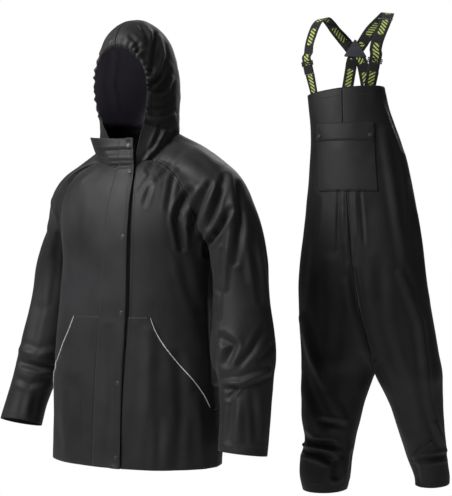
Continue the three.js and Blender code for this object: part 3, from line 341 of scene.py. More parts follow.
overallsBackFolds = [
    (-6, 14, [(600, -250), (580, -420), (560, -520)]),
    (5, 14, [(720, -240), (750, -420), (760, -540)]),
    (-8, 12, [(660, -380), (668, -500), (676, -600)]),
    (-6, 10, [(500, -760), (550, -775), (590, -765)]),
    (-9, 10, [(490, -850), (540, -870), (590, -860)]),
    (-6, 10, [(800, -860), (850, -850), (905, -860)]),
    (4, 12, [(500, -500), (520, -640), (540, -740)]),
    (5, 12, [(820, -480), (850, -650), (870, -790)]),
    (-3, 12, [(640, 80), (650, -120)]),
]
foldShape = {"strength": 1.35, "shoulder": 0.32, "shoulderAt": 1.9, "shoulderWidth": 0.8, "endHeight": 0.3}


def seenFromFront(coords):
    # where a point shows in the plane y = 0, and how far it is from the camera
    depth = coords[:, 1] - viewPlace.y
    scale = -viewPlace.y / depth
    across = viewPlace.x + (coords[:, 0] - viewPlace.x) * scale
    height = viewPlace.z + (coords[:, 2] - viewPlace.z) * scale
    return across, height


def foldRise(coords, normals, folds, facing):
    across, height = seenFromFront(coords)
    toCamera = np.array(viewPlace) - coords
    toCamera /= np.linalg.norm(toCamera, axis=1)[:, None]
    turned = (normals * toCamera).sum(1) * facing
    shown = smoothStep(turned, *view["nearFade"])
    rise = np.zeros(len(coords))
    for tall, wide, line in folds:
        points = np.array(line) * mm
        width = wide * mm
        reach = width * 4
        near = np.nonzero(
            (shown > 0) & (across > points[:, 0].min() - reach) & (across < points[:, 0].max() + reach)
            & (height > points[:, 1].min() - reach) & (height < points[:, 1].max() + reach))[0]
        if not len(near):
            continue
        place = np.stack([across[near], height[near]], 1)
        best = np.full(len(near), 1e9)
        along = np.zeros(len(near))
        runs = np.linalg.norm(np.diff(points, axis=0), axis=1)
        before = 0.0
        for start, end, run in zip(points[:-1], points[1:], runs):
            share = np.clip(((place - start) @ (end - start)) / run ** 2, 0, 1)
            away = np.linalg.norm(place - start - share[:, None] * (end - start), axis=1)
            closer = away < best
            best[closer] = away[closer]
            along[closer] = ((before + share * run) / runs.sum())[closer]
            before += run
        main = np.exp(-(best / width) ** 2)
        shoulder = np.exp(-((best - foldShape["shoulderAt"] * width) / (foldShape["shoulderWidth"] * width)) ** 2)
        taper = foldShape["endHeight"] + (1 - foldShape["endHeight"]) * np.sin(np.pi * (0.12 + 0.76 * along))
        fullHeight = tall * mm * foldShape["strength"]
        rise[near] += fullHeight * (main - foldShape["shoulder"] * shoulder) * taper * shown[near]
    return rise


def crumple(coords, seed, size, stretch, height):
    # soft uneven waves, longer up the garment than across it
    shift = Vector((seed * 3.1, seed * 7.7, seed * 1.9))
    scale = np.array([1 / size, 1 / size, 1 / (size * stretch)])
    return height * np.array([noise.noise(Vector(place) + shift) for place in coords * scale])


def separated(cloth, index, name):
    bm = bmesh.new()
    bm.from_mesh(cloth.data)
    others = [face for face in bm.faces if face.material_index != index]
    bmesh.ops.delete(bm, geom=others, context="FACES")
    for face in bm.faces:
        face.material_index = 0
        face.smooth = True
    mesh = bpy.data.meshes.new(name)
    bm.to_mesh(mesh)
    bm.free()
    return newObject(name, mesh)


# Shader groups
def newGroup(name, inputs, outputs):
    group = bpy.data.node_groups.new(name, "ShaderNodeTree")
    for label, kind, value in inputs:
        socket = group.interface.new_socket(name=label, in_out="INPUT", socket_type=kind)
        if value is not None:
            socket.default_value = value
    for label, kind in outputs:
        group.interface.new_socket(name=label, in_out="OUTPUT", socket_type=kind)
    return group, group.nodes.new("NodeGroupInput"), group.nodes.new("NodeGroupOutput")


def math2(tree, operation, first, second=None, third=None):
    node = tree.nodes.new("ShaderNodeMath")
    node.operation = operation
    for index, value in enumerate((first, second, third)):
        if value is None:
            continue
        if isinstance(value, (int, float)):
            node.inputs[index].default_value = value
        else:
            tree.links.new(value, node.inputs[index])
    return node.outputs[0]


def ramp(tree, value, low, high, fromValue=0.0, toValue=1.0):
    node = tree.nodes.new("ShaderNodeMapRange")
    node.interpolation_type = "SMOOTHSTEP"
    tree.links.new(value, node.inputs["Value"])
    node.inputs["From Min"].default_value = low
    node.inputs["From Max"].default_value = high
    node.inputs["To Min"].default_value = fromValue
    node.inputs["To Max"].default_value = toValue
    return node.outputs["Result"]


def makeGrain():
    # fine grain of the coating, soft mottling and small creases
    group, source, target = newGroup(
        "coatingGrain",
        [("Grain Scale", "NodeSocketFloat", 900.0), ("Crease Scale", "NodeSocketFloat", 55.0),
         ("Mottle Scale", "NodeSocketFloat", 9.0)],
        [("Height", "NodeSocketFloat"), ("Mottle", "NodeSocketFloat"), ("Crease", "NodeSocketFloat")])
    where = group.nodes.new("ShaderNodeTexCoord")
    made = {}
    for label, detail in (("Grain Scale", 2.0), ("Crease Scale", 3.0), ("Mottle Scale", 4.0)):
        texture = group.nodes.new("ShaderNodeTexNoise")
        texture.inputs["Detail"].default_value = detail
        group.links.new(where.outputs["Object"], texture.inputs["Vector"])
        group.links.new(source.outputs[label], texture.inputs["Scale"])
        made[label] = texture.outputs["Fac"]
    crease = math2(group, "ABSOLUTE", math2(group, "SUBTRACT", made["Crease Scale"], 0.5))
    height = math2(group, "ADD", math2(group, "MULTIPLY", made["Grain Scale"], 0.10),
                   math2(group, "MULTIPLY", crease, 0.9))
    group.links.new(height, target.inputs["Height"])
    group.links.new(made["Mottle Scale"], target.inputs["Mottle"])
    group.links.new(crease, target.inputs["Crease"])
    return group


def makeSewing():
    # a seam's groove with a stitch row beside it, and a turned hem with its own row, from distances in metres; a third
    # output is painted shade that darkens the groove and, a little, the stitch rows
    group, source, target = newGroup(
        "sewing",
        [("Seam", "NodeSocketFloat", 1.0), ("Hem", "NodeSocketFloat", 1.0),
         ("Stitch At", "NodeSocketFloat", 0.006), ("Hem Depth", "NodeSocketFloat", 0.024),
         ("Stitch Length", "NodeSocketFloat", 0.0035)],
        [("Height", "NodeSocketFloat"), ("Thread", "NodeSocketFloat"), ("PaintedSeamShade", "NodeSocketFloat")])
    seam = source.outputs["Seam"]
    hem = source.outputs["Hem"]
    groove = ramp(group, seam, 0.0, 0.0022)
    fold = ramp(group, hem, 0.0, 0.0015)
    where = group.nodes.new("ShaderNodeTexCoord")
    axes3 = group.nodes.new("ShaderNodeSeparateXYZ")
    group.links.new(where.outputs["Object"], axes3.inputs["Vector"])
    sumXyz = math2(group, "ADD", math2(group, "ADD", axes3.outputs["X"], axes3.outputs["Y"]), axes3.outputs["Z"])
    beat = math2(group, "FRACT", math2(group, "DIVIDE", sumXyz, source.outputs["Stitch Length"]))
    dash = ramp(group, math2(group, "ABSOLUTE", math2(group, "SUBTRACT", beat, 0.5)), 0.40, 0.30)
    rows = None
    for distance, at in ((seam, source.outputs["Stitch At"]), (hem, source.outputs["Hem Depth"])):
        away = math2(group, "ABSOLUTE", math2(group, "SUBTRACT", distance, at))
        line = ramp(group, away, 0.0011, 0.0003)
        rows = line if rows is None else math2(group, "MAXIMUM", rows, line)
    thread = math2(group, "MULTIPLY", rows, dash)
    dip = math2(group, "MULTIPLY", rows, -0.5)
    turned = math2(group, "SUBTRACT", hem, source.outputs["Hem Depth"])
    step = ramp(group, turned, -0.001, 0.001, 0.35, 0.0)
    height = math2(group, "ADD", math2(group, "ADD", groove, dip), math2(group, "ADD", step, fold))
    group.links.new(height, target.inputs["Height"])
    group.links.new(thread, target.inputs["Thread"])
    # painted shade: the colour is drawn towards black in the seam's groove and a little along the stitch rows
    group.links.new(math2(group, "MULTIPLY", groove, ramp(group, rows, 0.0, 1.0, 1.0, 0.86)), target.inputs["PaintedSeamShade"])
    return group


grainGroup = makeGrain()
sewingGroup = makeSewing()


def newMaterial(name, roughness, specular=0.5, metallic=0.0, sheen=0.0, sheenRoughness=0.5):
    material = bpy.data.materials.new(name)
    material.use_nodes = True
    shader = material.node_tree.nodes["Principled BSDF"]
    shader.inputs["Roughness"].default_value = roughness
    shader.inputs["Specular IOR Level"].default_value = specular
    shader.inputs["Metallic"].default_value = metallic
    shader.inputs["Sheen Weight"].default_value = sheen
    shader.inputs["Sheen Roughness"].default_value = sheenRoughness
    return material, material.node_tree, shader


def mixColours(tree, share, first, second):
    node = tree.nodes.new("ShaderNodeMix")
    node.data_type = "RGBA"
    for index, value in ((0, share), (6, first), (7, second)):
        if isinstance(value, (int, float)):
            node.inputs[index].default_value = value
        elif isinstance(value, tuple):
            node.inputs[index].default_value = (*value, 1.0)
        else:
            tree.links.new(value, node.inputs[index])
    return node.outputs[2]


def attributeOf(tree, name):
    node = tree.nodes.new("ShaderNodeAttribute")
    node.attribute_name = name
    return node.outputs["Fac"]


def placeGroup(tree, group, **values):
    node = tree.nodes.new("ShaderNodeGroup")
    node.node_tree = group
    for name, value in values.items():
        socket = node.inputs[name.replace("_", " ")]
        if isinstance(value, (int, float)):
            socket.default_value = value
        else:
            tree.links.new(value, socket)
    return node


def addBump(tree, shader, height, strength, distance, previous=None):
    node = tree.nodes.new("ShaderNodeBump")
    node.inputs["Strength"].default_value = strength
    node.inputs["Distance"].default_value = distance
    tree.links.new(height, node.inputs["Height"])
    if previous is not None:
        tree.links.new(previous, node.inputs["Normal"])
    tree.links.new(node.outputs["Normal"], shader.inputs["Normal"])
    return node.outputs["Normal"]


clothLook = {
    "colour": (0.0180, 0.0180, 0.0195),
    "lighter": (0.0255, 0.0255, 0.0278),
    "thread": (0.044, 0.044, 0.046),
    "roughness": (0.53, 0.66),
    "specular": 0.36,
    "sheen": 0.10,
}


def clothMaterial(name, colour, lighter, sewn=True, paintedShadeBelow=None, roughness=None):
    material, tree, shader = newMaterial(
        name, 0.48, clothLook["specular"], sheen=clothLook["sheen"], sheenRoughness=0.4)
    roughness = clothLook["roughness"] if roughness is None else roughness
    grain = placeGroup(tree, grainGroup)
    base = mixColours(tree, ramp(tree, grain.outputs["Mottle"], 0.3, 0.7), colour, lighter)
    tree.links.new(ramp(tree, grain.outputs["Mottle"], 0.25, 0.75, *roughness), shader.inputs["Roughness"])
    normal = addBump(tree, shader, grain.outputs["Height"], 0.25, 0.0012)
    if sewn:
        sewing = placeGroup(tree, sewingGroup, Seam=attributeOf(tree, "seamDistance"), Hem=attributeOf(tree, "hemDistance"))
        # painted shade: the cloth's colour darkens in seam grooves and slightly along stitch rows
        base = mixColours(tree, sewing.outputs["PaintedSeamShade"], (0.004, 0.004, 0.0045), base)
        base = mixColours(tree, math2(tree, "MULTIPLY", sewing.outputs["Thread"], 0.7), base, clothLook["thread"])
        addBump(tree, shader, sewing.outputs["Height"], 0.8, 0.0011, normal)
    # painted shade: below the given heights the colour is drawn to near black
    if paintedShadeBelow is not None:
        where = tree.nodes.new("ShaderNodeTexCoord")
        split = tree.nodes.new("ShaderNodeSeparateXYZ")
        tree.links.new(where.outputs["Object"], split.inputs["Vector"])
        base = mixColours(tree, ramp(tree, split.outputs["Z"], *paintedShadeBelow), (0.003, 0.003, 0.0035), base)
    tree.links.new(base, shader.inputs["Base Color"])
    return material


coatedCloth = clothMaterial("coatedCloth", clothLook["colour"], clothLook["lighter"])
pocketCloth = clothMaterial("pocketCloth", (0.0150, 0.0150, 0.0160), (0.0225, 0.0225, 0.0240))
insideCloth = clothMaterial("insideCloth", (0.0045, 0.0045, 0.0050), (0.0075, 0.0075, 0.0080), sewn=False)
# the hood's lining: painted light sets its colour far lighter than the lining's own dark grey, standing in for light
# inside the hood; painted shade turns it near black below the chin
hoodInsidePaintedLight = clothMaterial(
    "hoodInsidePaintedLight", (0.200, 0.184, 0.220), (0.235, 0.216, 0.258),
    sewn=False, paintedShadeBelow=(0.095, 0.120), roughness=(0.85, 0.92))
# painted shade: the overalls get a darker copy of the coated cloth, standing in for less light on the lower part of the
# set
overallsShadedCoating = clothMaterial("overallsShadedCoating", (0.0135, 0.0135, 0.0146), (0.0200, 0.0200, 0.0216))
print("materials made")


# Jacket: body and sleeves as one cloth, creased, then parted into its sewn pieces
jacketPieces = {
    "jacket_front_right": {"flat": (0.42, 0.90), "area": 0.345},
    "jacket_front_left": {"flat": (0.42, 0.90), "area": 0.345},
    "jacket_back": {"flat": (0.74, 0.98), "area": 0.66},
    "jacket_sleeve_right": {"flat": (0.58, 0.92), "area": 0.47},
    "jacket_sleeve_left": {"flat": (0.58, 0.92), "area": 0.47},
}
clothThick = 1.2 * mm


def finishCloth(obj, node, material, inside, flat, area, thick=clothThick):
    obj.data.materials.clear()
    obj.data.materials.append(material)
    obj.data.materials.append(inside)
    cut = sum(polygon.area for polygon in obj.data.polygons)
    print(obj.name, "has", round(cut, 4), "square metres of cloth against", round(area or flat[0] * flat[1], 4))
    applyModifier(obj, "SOLIDIFY", thickness=thick, offset=-1.0, use_even_offset=False, material_offset=1)
    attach(obj, "root")
    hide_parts(node)


def creasedCloth(name, nodeNames, thick, foldSets, waves, levels=None, extra=None, tuck=None):
    cloth = joinedCloth(name, nodeNames, thick, levels, tuck)
    rest = coordsOf(cloth.data)
    normals = normalsOf(cloth.data)
    seams, hems = seamLines(cloth.data)
    addNumbers(cloth.data, "seamDistance", distancesTo(rest, seams))
    addNumbers(cloth.data, "hemDistance", distancesTo(rest, hems))
    rise = np.zeros(len(rest))
    for folds, facing in foldSets:
        rise += foldRise(rest, normals, folds, facing)
    for wave in waves:
        rise += crumple(rest, **wave)
    move = normals * rise[:, None]
    if extra is not None:
        move += extra(rest, normals, hems)
    setCoords(cloth.data, rest + move)
    return cloth, rest, hems, move


bodySide = {"out": 9 * mm, "high": (-0.62, -0.50), "low": (-0.88, -0.80), "from": (0.10, 0.20), "panels": 3}


def fullSide(rest, normals, hems):
    # the body bellies out under the wearer's left arm, where it touches the sleeve
    mesh = bpy.data.objects["jacketCloth"].data
    onBody = np.zeros(len(rest))
    for polygon in mesh.polygons:
        if polygon.material_index < bodySide["panels"]:
            onBody[list(polygon.vertices)] = 1.0
    turn = math.radians(30)
    across = rest[:, 0] * math.cos(turn) - rest[:, 1] * math.sin(turn)
    share = 1 - smoothStep(rest[:, 2], *bodySide["high"])
    share = share * (0.5 + 0.5 * smoothStep(rest[:, 2], *bodySide["low"])) * smoothStep(across, *bodySide["from"])
    return normals * (bodySide["out"] * share * onBody)[:, None]


jacketCloth, jacketRest, jacketHems, jacketMove = creasedCloth(
    "jacketCloth", list(jacketPieces), 1.6 * mm,
    [(jacketFolds, 1), (jacketBackFolds, -1)],
    [{"seed": 1, "size": 0.09, "stretch": 2.6, "height": 3.0 * mm},
     {"seed": 2, "size": 0.035, "stretch": 1.6, "height": 0.9 * mm}], extra=fullSide)
for index, (node, facts) in enumerate(jacketPieces.items()):
    piece = separated(jacketCloth, index, node.replace("jacket_", "jacketCloth_"))
    finishCloth(piece, node, coatedCloth, insideCloth, facts["flat"], facts["area"])
print("jacket body and sleeves made")

# Hood: two halves gathered along the face opening, with the lower edge tucked into the neck
hoodPieces = {
    "jacket_hood_right": {"flat": (0.36, 0.50), "area": 0.135},
    "jacket_hood_left": {"flat": (0.36, 0.50), "area": 0.135},
}
hoodShape = {
    "gatherReach": 0.046, "gatherHeight": 4.0 * mm, "gatherPitch": 0.019,
    "scallopHeight": 2.4 * mm, "scallopPitch": 0.031, "leftSide": (0.0, 0.05),
    "casingWidth": 0.016, "casingHeight": 2.0 * mm, "middleHeight": 0.20,
    "neckReach": 0.030, "neckLow": -0.12,
}


def hoodGathers(rest, normals, hems):
    # soft pleats along the face opening, where the edge is drawn in, and the casing's swell
    opening = [key for key in hems if neckLine.find(Vector(rest[key[0]]))[2] > hoodShape["neckReach"]]
    edge = distancesTo(rest, opening)
    turn = math.radians(30)
    across = rest[:, 0] * math.cos(turn) - rest[:, 1] * math.sin(turn)
    angle = np.arctan2(rest[:, 2] - hoodShape["middleHeight"], across)
    run = angle * 0.12 + 0.004 * np.sin(angle * 5.0) + 0.003 * np.sin(angle * 11.0 + 1.0)
    beat = np.sin(2 * np.pi * run / hoodShape["gatherPitch"])
    uneven = 0.65 + 0.35 * np.sin(angle * 7.0 + 0.6)
    left = smoothStep(-across, *hoodShape["leftSide"])
    scallop = hoodShape["scallopHeight"] * left * np.sin(2 * np.pi * run / hoodShape["scallopPitch"] + 1.0)
    fade = 1 - smoothStep(edge, 0.004, hoodShape["gatherReach"])
    upper = smoothStep(rest[:, 2], 0.06, 0.12)
    gather = (hoodShape["gatherHeight"] * beat * uneven * (1 - 0.8 * left) + scallop) * fade * upper
    half = hoodShape["casingWidth"] / 2
    casing = hoodShape["casingHeight"] * np.exp(-((edge - half) / (half * 0.8)) ** 2) * upper
    print("hood opening has", len(opening), "edges of", len(hems))
    return normals * (gather + casing)[:, None]


def lineThrough(coords, keys, low):
    used = sorted({index for key in keys for index in key if coords[index][2] > low})
    tree = kdtree.KDTree(len(used))
    for index in used:
        tree.insert(Vector(coords[index]), index)
    tree.balance()
    return tree


neckLine = lineThrough(jacketRest, jacketHems, hoodShape["neckLow"])
neckTuck = {"line": neckLine, "reach": 0.012, "down": 9 * mm, "inward": 3.5 * mm}
hoodCloth, hoodRest, hoodHems, hoodMove = creasedCloth(
    "hoodCloth", list(hoodPieces), 1.6 * mm,
    [(hoodFolds, 1), (hoodBackFolds, -1)],
    [{"seed": 5, "size": 0.05, "stretch": 1.3, "height": 2.2 * mm},
     {"seed": 6, "size": 0.022, "stretch": 1.0, "height": 0.8 * mm}],
    extra=hoodGathers, tuck=neckTuck)
for index, (node, facts) in enumerate(hoodPieces.items()):
    piece = separated(hoodCloth, index, node.replace("jacket_", "jacketCloth_"))
    finishCloth(piece, node, coatedCloth, hoodInsidePaintedLight, facts["flat"], facts["area"])
print("hood made")

collarCloth, collarRest, collarHems, collarMove = creasedCloth(
    "collarCloth", ["jacket_collar"], 1.6 * mm,
    [(neckFolds, 1)],
    [{"seed": 8, "size": 0.045, "stretch": 1.0, "height": 2.0 * mm}], tuck=neckTuck)
collarPiece = separated(collarCloth, 0, "jacketCloth_collar")
finishCloth(collarPiece, "jacket_collar", coatedCloth, insideCloth, (0.21, 0.095), None)
print("collar made")

# Overalls: four long panels as one cloth
overallsPieces = {
    "overalls_front_right": {"flat": (0.32, 1.22), "area": 0.31},
    "overalls_front_left": {"flat": (0.36, 1.22), "area": 0.33},
    "overalls_back_right": {"flat": (0.32, 1.20), "area": 0.31},
    "overalls_back_left": {"flat": (0.36, 1.20), "area": 0.33},
}
overallsCloth, overallsRest, overallsHems, overallsMove = creasedCloth(
    "overallsCloth", list(overallsPieces), 1.6 * mm,
    [(overallsFolds, 1), (overallsBackFolds, -1)],
    [{"seed": 11, "size": 0.08, "stretch": 3.0, "height": 2.6 * mm},
     {"seed": 12, "size": 0.032, "stretch": 1.6, "height": 0.8 * mm}])
for index, (node, facts) in enumerate(overallsPieces.items()):
    piece = separated(overallsCloth, index, node.replace("overalls_", "overallsCloth_"))
    finishCloth(piece, node, overallsShadedCoating, insideCloth, facts["flat"], facts["area"])
print("overalls made")


# What lies on the cloth follows its folds
class Ground:
    def __init__(self, *layers):
        places = np.concatenate([layer[0] for layer in layers])
        self.moves = np.concatenate([layer[1] for layer in layers])
        self.tree = kdtree.KDTree(len(places))
        for index, place in enumerate(places):
            self.tree.insert(Vector(place), index)
        self.tree.balance()

    def moveOf(self, coords, count=4):
        result = np.zeros((len(coords), 3))
        for index, place in enumerate(coords):
            found = self.tree.find_n(Vector(place), count)
            weights = np.array([1 / (hit[2] + 0.0005) for hit in found])
            result[index] = (self.moves[[hit[1] for hit in found]] * weights[:, None]).sum(0) / weights.sum()
        return result


jacketGround = Ground((jacketRest, jacketMove), (collarRest, collarMove))
bodyGround = Ground((jacketRest, jacketMove))
overallsGround = Ground((overallsRest, overallsMove))


def overlay(node, name, ground, material, flat, area=None, lift=0.6 * mm, edgeLift=None, thick=1.4 * mm):
    cloth = joinedCloth(name, [node], 1.3 * mm)
    rest = coordsOf(cloth.data)
    normals = normalsOf(cloth.data)
    _, hems = seamLines(cloth.data)
    edge = distancesTo(rest, hems)
    addNumbers(cloth.data, "seamDistance", edge + 0.003)
    addNumbers(cloth.data, "hemDistance", np.full(len(rest), 1.0))
    rise = lift * smoothStep(edge, 0.0, 0.02)
    if edgeLift is not None:
        rise = rise + edgeLift(rest, edge)
    setCoords(cloth.data, rest + ground.moveOf(rest) + normals * rise[:, None])
    for polygon in cloth.data.polygons:
        polygon.use_smooth = True
    finishCloth(cloth, node, material, insideCloth, flat, area, thick)
    return cloth


flapShape = {
    "lift": 6.0 * mm, "reach": 0.016, "side": (0.004, 0.020),
    "levels": [-0.885, -0.653, -0.45, -0.238, -0.058, 0.023],
    "middles": [-0.089, -0.082, -0.073, -0.061, -0.041, -0.044],
}


def freeFlapEdge(rest, edge):
    # the storm flap's free edge, on the wearer's left, stands off the front a little
    across, _ = seenFromFront(rest)
    side = smoothStep(across - flapMiddle(rest[:, 2]), *flapShape["side"])
    return flapShape["lift"] * side * (1 - smoothStep(edge, 0.0, flapShape["reach"]))


def flapMiddle(height):
    # the flap's middle across, seen from the front, at each height
    return np.interp(height, flapShape["levels"], flapShape["middles"])


overlay("jacket_storm_flap", "jacketCloth_stormFlap", jacketGround, coatedCloth,
        (0.094, 0.95), edgeLift=freeFlapEdge)
overlay("jacket_pocket_right", "jacketCloth_pocketRight", bodyGround, pocketCloth,
        (0.35, 0.43), area=0.105)
overlay("jacket_pocket_left", "jacketCloth_pocketLeft", bodyGround, pocketCloth,
        (0.37, 0.43), area=0.115)
overlay("overalls_chest_pocket", "overallsCloth_chestPocket", overallsGround, pocketCloth,
        (0.19, 0.21))
overlay("overalls_pocket_flap", "overallsCloth_pocketFlap", overallsGround, pocketCloth,
        (0.19, 0.054), lift=1.0 * mm, thick=1.8 * mm)
print("pockets and flaps made")

for cloth in (jacketCloth, hoodCloth, collarCloth, overallsCloth):
    bpy.data.objects.remove(cloth)


# Hard trim: snaps, piping, adjusters, rivets and the slider
def middleOf(node):
    low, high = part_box(node)
    return (Vector(low) + Vector(high)) / 2


snapLook = {"radius": 7.2 * mm, "height": 2.6 * mm, "rim": 0.9 * mm, "sides": 40}
snapMaterial, snapTree, snapShader = newMaterial("snapPlastic", 0.33, 0.55)
snapGrain = placeGroup(snapTree, grainGroup, Grain_Scale=2400.0, Crease_Scale=400.0, Mottle_Scale=60.0)
snapTree.links.new(mixColours(snapTree, snapGrain.outputs["Mottle"], (0.028, 0.028, 0.030), (0.045, 0.045, 0.047)),
                   snapShader.inputs["Base Color"])
snapTree.links.new(ramp(snapTree, snapGrain.outputs["Mottle"], 0.3, 0.7, 0.40, 0.54), snapShader.inputs["Roughness"])
addBump(snapTree, snapShader, snapGrain.outputs["Height"], 0.1, 0.0003)


def facingOf(node):
    # the way a round cap looks: away from its flat back
    bm = bmesh.new()
    bm.from_mesh(nodes[node].data)
    backs = {}
    for face in bm.faces:
        key = tuple(round(value, 2) for value in face.normal)
        backs[key] = backs.get(key, 0.0) + face.calc_area()
    bm.free()
    return -Vector(max(backs, key=backs.get)).normalized()


def modelSnap(radius):
    clearSelection()
    bpy.ops.mesh.primitive_cylinder_add(vertices=snapLook["sides"], radius=radius, depth=snapLook["height"])
    snap = bpy.context.active_object
    bm = bmesh.new()
    bm.from_mesh(snap.data)
    bmesh.ops.translate(bm, verts=bm.verts, vec=(0, 0, snapLook["height"] / 2))
    top = [face for face in bm.faces if face.normal.z > 0.9]
    share = radius / snapLook["radius"]
    bmesh.ops.inset_region(bm, faces=top, thickness=1.3 * mm * share, depth=-0.5 * mm * share)
    top = [face for face in bm.faces if face.normal.z > 0.9 and len(face.verts) > 4]
    bmesh.ops.inset_region(bm, faces=top, thickness=0.5 * mm * share, depth=0.9 * mm * share)
    top = [face for face in bm.faces if face.normal.z > 0.9 and len(face.verts) > 4]
    bmesh.ops.inset_region(bm, faces=top, thickness=1.6 * mm * share, depth=0.4 * mm * share)
    bm.to_mesh(snap.data)
    bm.free()
    applyModifier(snap, "BEVEL", width=0.35 * mm * share, segments=2, limit_method="ANGLE")
    return snap


def placeSnap(model, node, name, ground, material):
    mesh = model.data.copy()
    snap = newObject(name, mesh)
    facing = facingOf(node)
    place = middleOf(node)
    shift = Vector(ground.moveOf(np.array([place]))[0]) if ground else Vector()
    turn = facing.to_track_quat("Z", "Y").to_matrix().to_4x4()
    base = place + shift - facing * (1.0 * mm)
    mesh.transform(Matrix.Translation(base) @ turn)
    for polygon in mesh.polygons:
        polygon.use_smooth = True
    mesh.materials.clear()
    mesh.materials.append(material)
    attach(snap, "root")
    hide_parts(node)


snapModel = modelSnap(snapLook["radius"])
for number in range(1, 7):
    placeSnap(snapModel, f"jacket_snap_{number}", f"jacketSnap_{number}", jacketGround, snapMaterial)
for side in ("right", "left"):
    placeSnap(snapModel, f"overalls_flap_snap_{side}", f"pocketSnap_{side}", overallsGround, snapMaterial)
bpy.data.objects.remove(snapModel)

metal, metalTree, metalShader = newMaterial("brightMetal", 0.26, 0.5, metallic=1.0)
metalGrain = placeGroup(metalTree, grainGroup, Grain_Scale=1800.0, Crease_Scale=300.0, Mottle_Scale=90.0)
metalTree.links.new(mixColours(metalTree, metalGrain.outputs["Mottle"], (0.30, 0.31, 0.32), (0.48, 0.49, 0.50)),
                    metalShader.inputs["Base Color"])
addBump(metalTree, metalShader, metalGrain.outputs["Height"], 0.15, 0.0002)
rivetModel = modelSnap(2.7 * mm)
for number in (1, 2):
    placeSnap(rivetModel, f"overalls_brace_rivet_{number}", f"braceRivet_{number}", None, metal)
bpy.data.objects.remove(rivetModel)


def smoothCopy(node, name, material, bevel=None, levels=0, ground=None):
    mesh = nodes[node].data.copy()
    obj = newObject(name, mesh)
    bm = bmesh.new()
    bm.from_mesh(mesh)
    bmesh.ops.remove_doubles(bm, verts=bm.verts, dist=0.02 * mm)
    bmesh.ops.dissolve_limit(bm, angle_limit=0.02, verts=bm.verts, edges=bm.edges)
    bm.to_mesh(mesh)
    bm.free()
    if bevel:
        applyModifier(obj, "BEVEL", width=bevel, segments=3, limit_method="ANGLE", angle_limit=0.6)
    if levels:
        applyModifier(obj, "SUBSURF", levels=levels, render_levels=levels)
    if ground:
        coords = coordsOf(obj.data)
        setCoords(obj.data, coords + ground.moveOf(coords))
    makeActive(obj)
    bpy.ops.object.shade_smooth_by_angle(angle=0.7)
    obj.data.materials.clear()
    obj.data.materials.append(material)
    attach(obj, "root")
    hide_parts(node)
    return obj


pipingMaterial, pipingTree, pipingShader = newMaterial("reflectivePiping", 0.35, 0.6)
pipingGrain = placeGroup(pipingTree, grainGroup, Grain_Scale=3000.0, Crease_Scale=300.0, Mottle_Scale=40.0)
pipingTree.links.new(mixColours(pipingTree, pipingGrain.outputs["Mottle"], (0.62, 0.63, 0.64), (0.80, 0.81, 0.82)),
                     pipingShader.inputs["Base Color"])
addBump(pipingTree, pipingShader, pipingGrain.outputs["Height"], 0.2, 0.0003)
for side in ("right", "left"):
    smoothCopy(f"jacket_piping_{side}", f"pocketPiping_{side}", pipingMaterial,
               levels=2, ground=bodyGround)
    smoothCopy(f"overalls_adjuster_{side}", f"braceAdjuster_{side}", snapMaterial, bevel=0.6 * mm)
smoothCopy("overalls_brace_slider", "braceSlider", metal, bevel=0.5 * mm)
print("trim made")

# Braces: ribbed elastic with slanted bars in neon yellow-green
braceLook = {
    "colour": (0.010, 0.010, 0.011), "bars": (0.62, 0.76, 0.20),
    "groupPitch": 0.090, "groupLength": 0.060, "barPitch": 0.0112, "slant": 0.75,
    "barsHalfWidth": 0.0082, "rib": 0.0016, "throughAdjuster": 0.0157,
}


def makeWeave():
    group, source, target = newGroup(
        "elasticWeave", [("Rib", "NodeSocketFloat", 0.0016)],
        [("Height", "NodeSocketFloat"), ("Across", "NodeSocketFloat"), ("Along", "NodeSocketFloat")])
    uv = group.nodes.new("ShaderNodeUVMap")
    split = group.nodes.new("ShaderNodeSeparateXYZ")
    group.links.new(uv.outputs["UV"], split.inputs["Vector"])
    across = split.outputs["X"]
    along = split.outputs["Y"]
    wave = math2(group, "SINE", math2(group, "MULTIPLY", math2(group, "DIVIDE", along, source.outputs["Rib"]), 6.2832))
    cross = math2(group, "SINE", math2(group, "MULTIPLY", math2(group, "DIVIDE", across, source.outputs["Rib"]), 3.1416))
    group.links.new(math2(group, "MULTIPLY_ADD", cross, 0.4, wave), target.inputs["Height"])
    group.links.new(across, target.inputs["Across"])
    group.links.new(along, target.inputs["Along"])
    return group


weaveGroup = makeWeave()


def webbingMaterial(name, colour, lighter, bars=None):
    material, tree, shader = newMaterial(name, 0.72, 0.35, sheen=0.12)
    weave = placeGroup(tree, weaveGroup, Rib=braceLook["rib"])
    base = mixColours(tree, ramp(tree, weave.outputs["Height"], -1.0, 1.0), colour, lighter)
    if bars:
        along = weave.outputs["Along"]
        across = weave.outputs["Across"]
        within = math2(tree, "MODULO", math2(tree, "ADD", along, 10 * braceLook["groupPitch"]), braceLook["groupPitch"])
        slanted = math2(tree, "MULTIPLY_ADD", across, braceLook["slant"], along)
        beat = math2(tree, "FRACT", math2(tree, "DIVIDE", slanted, braceLook["barPitch"]))
        bar = ramp(tree, math2(tree, "ABSOLUTE", math2(tree, "SUBTRACT", beat, 0.5)), 0.30, 0.24)
        group = ramp(tree, within, braceLook["groupLength"] + 0.0008, braceLook["groupLength"])
        width = ramp(tree, math2(tree, "ABSOLUTE", across), braceLook["barsHalfWidth"] + 0.0008, braceLook["barsHalfWidth"])
        mask = math2(tree, "MULTIPLY", math2(tree, "MULTIPLY", bar, group), width)
        base = mixColours(tree, mask, base, bars)
    tree.links.new(base, shader.inputs["Base Color"])
    addBump(tree, shader, weave.outputs["Height"], 0.5, 0.0004)
    return material


braceWebbing = webbingMaterial("braceWebbing", braceLook["colour"], (0.026, 0.026, 0.028), braceLook["bars"])
loopWebbing = webbingMaterial("loopWebbing", (0.009, 0.009, 0.010), (0.022, 0.022, 0.024))


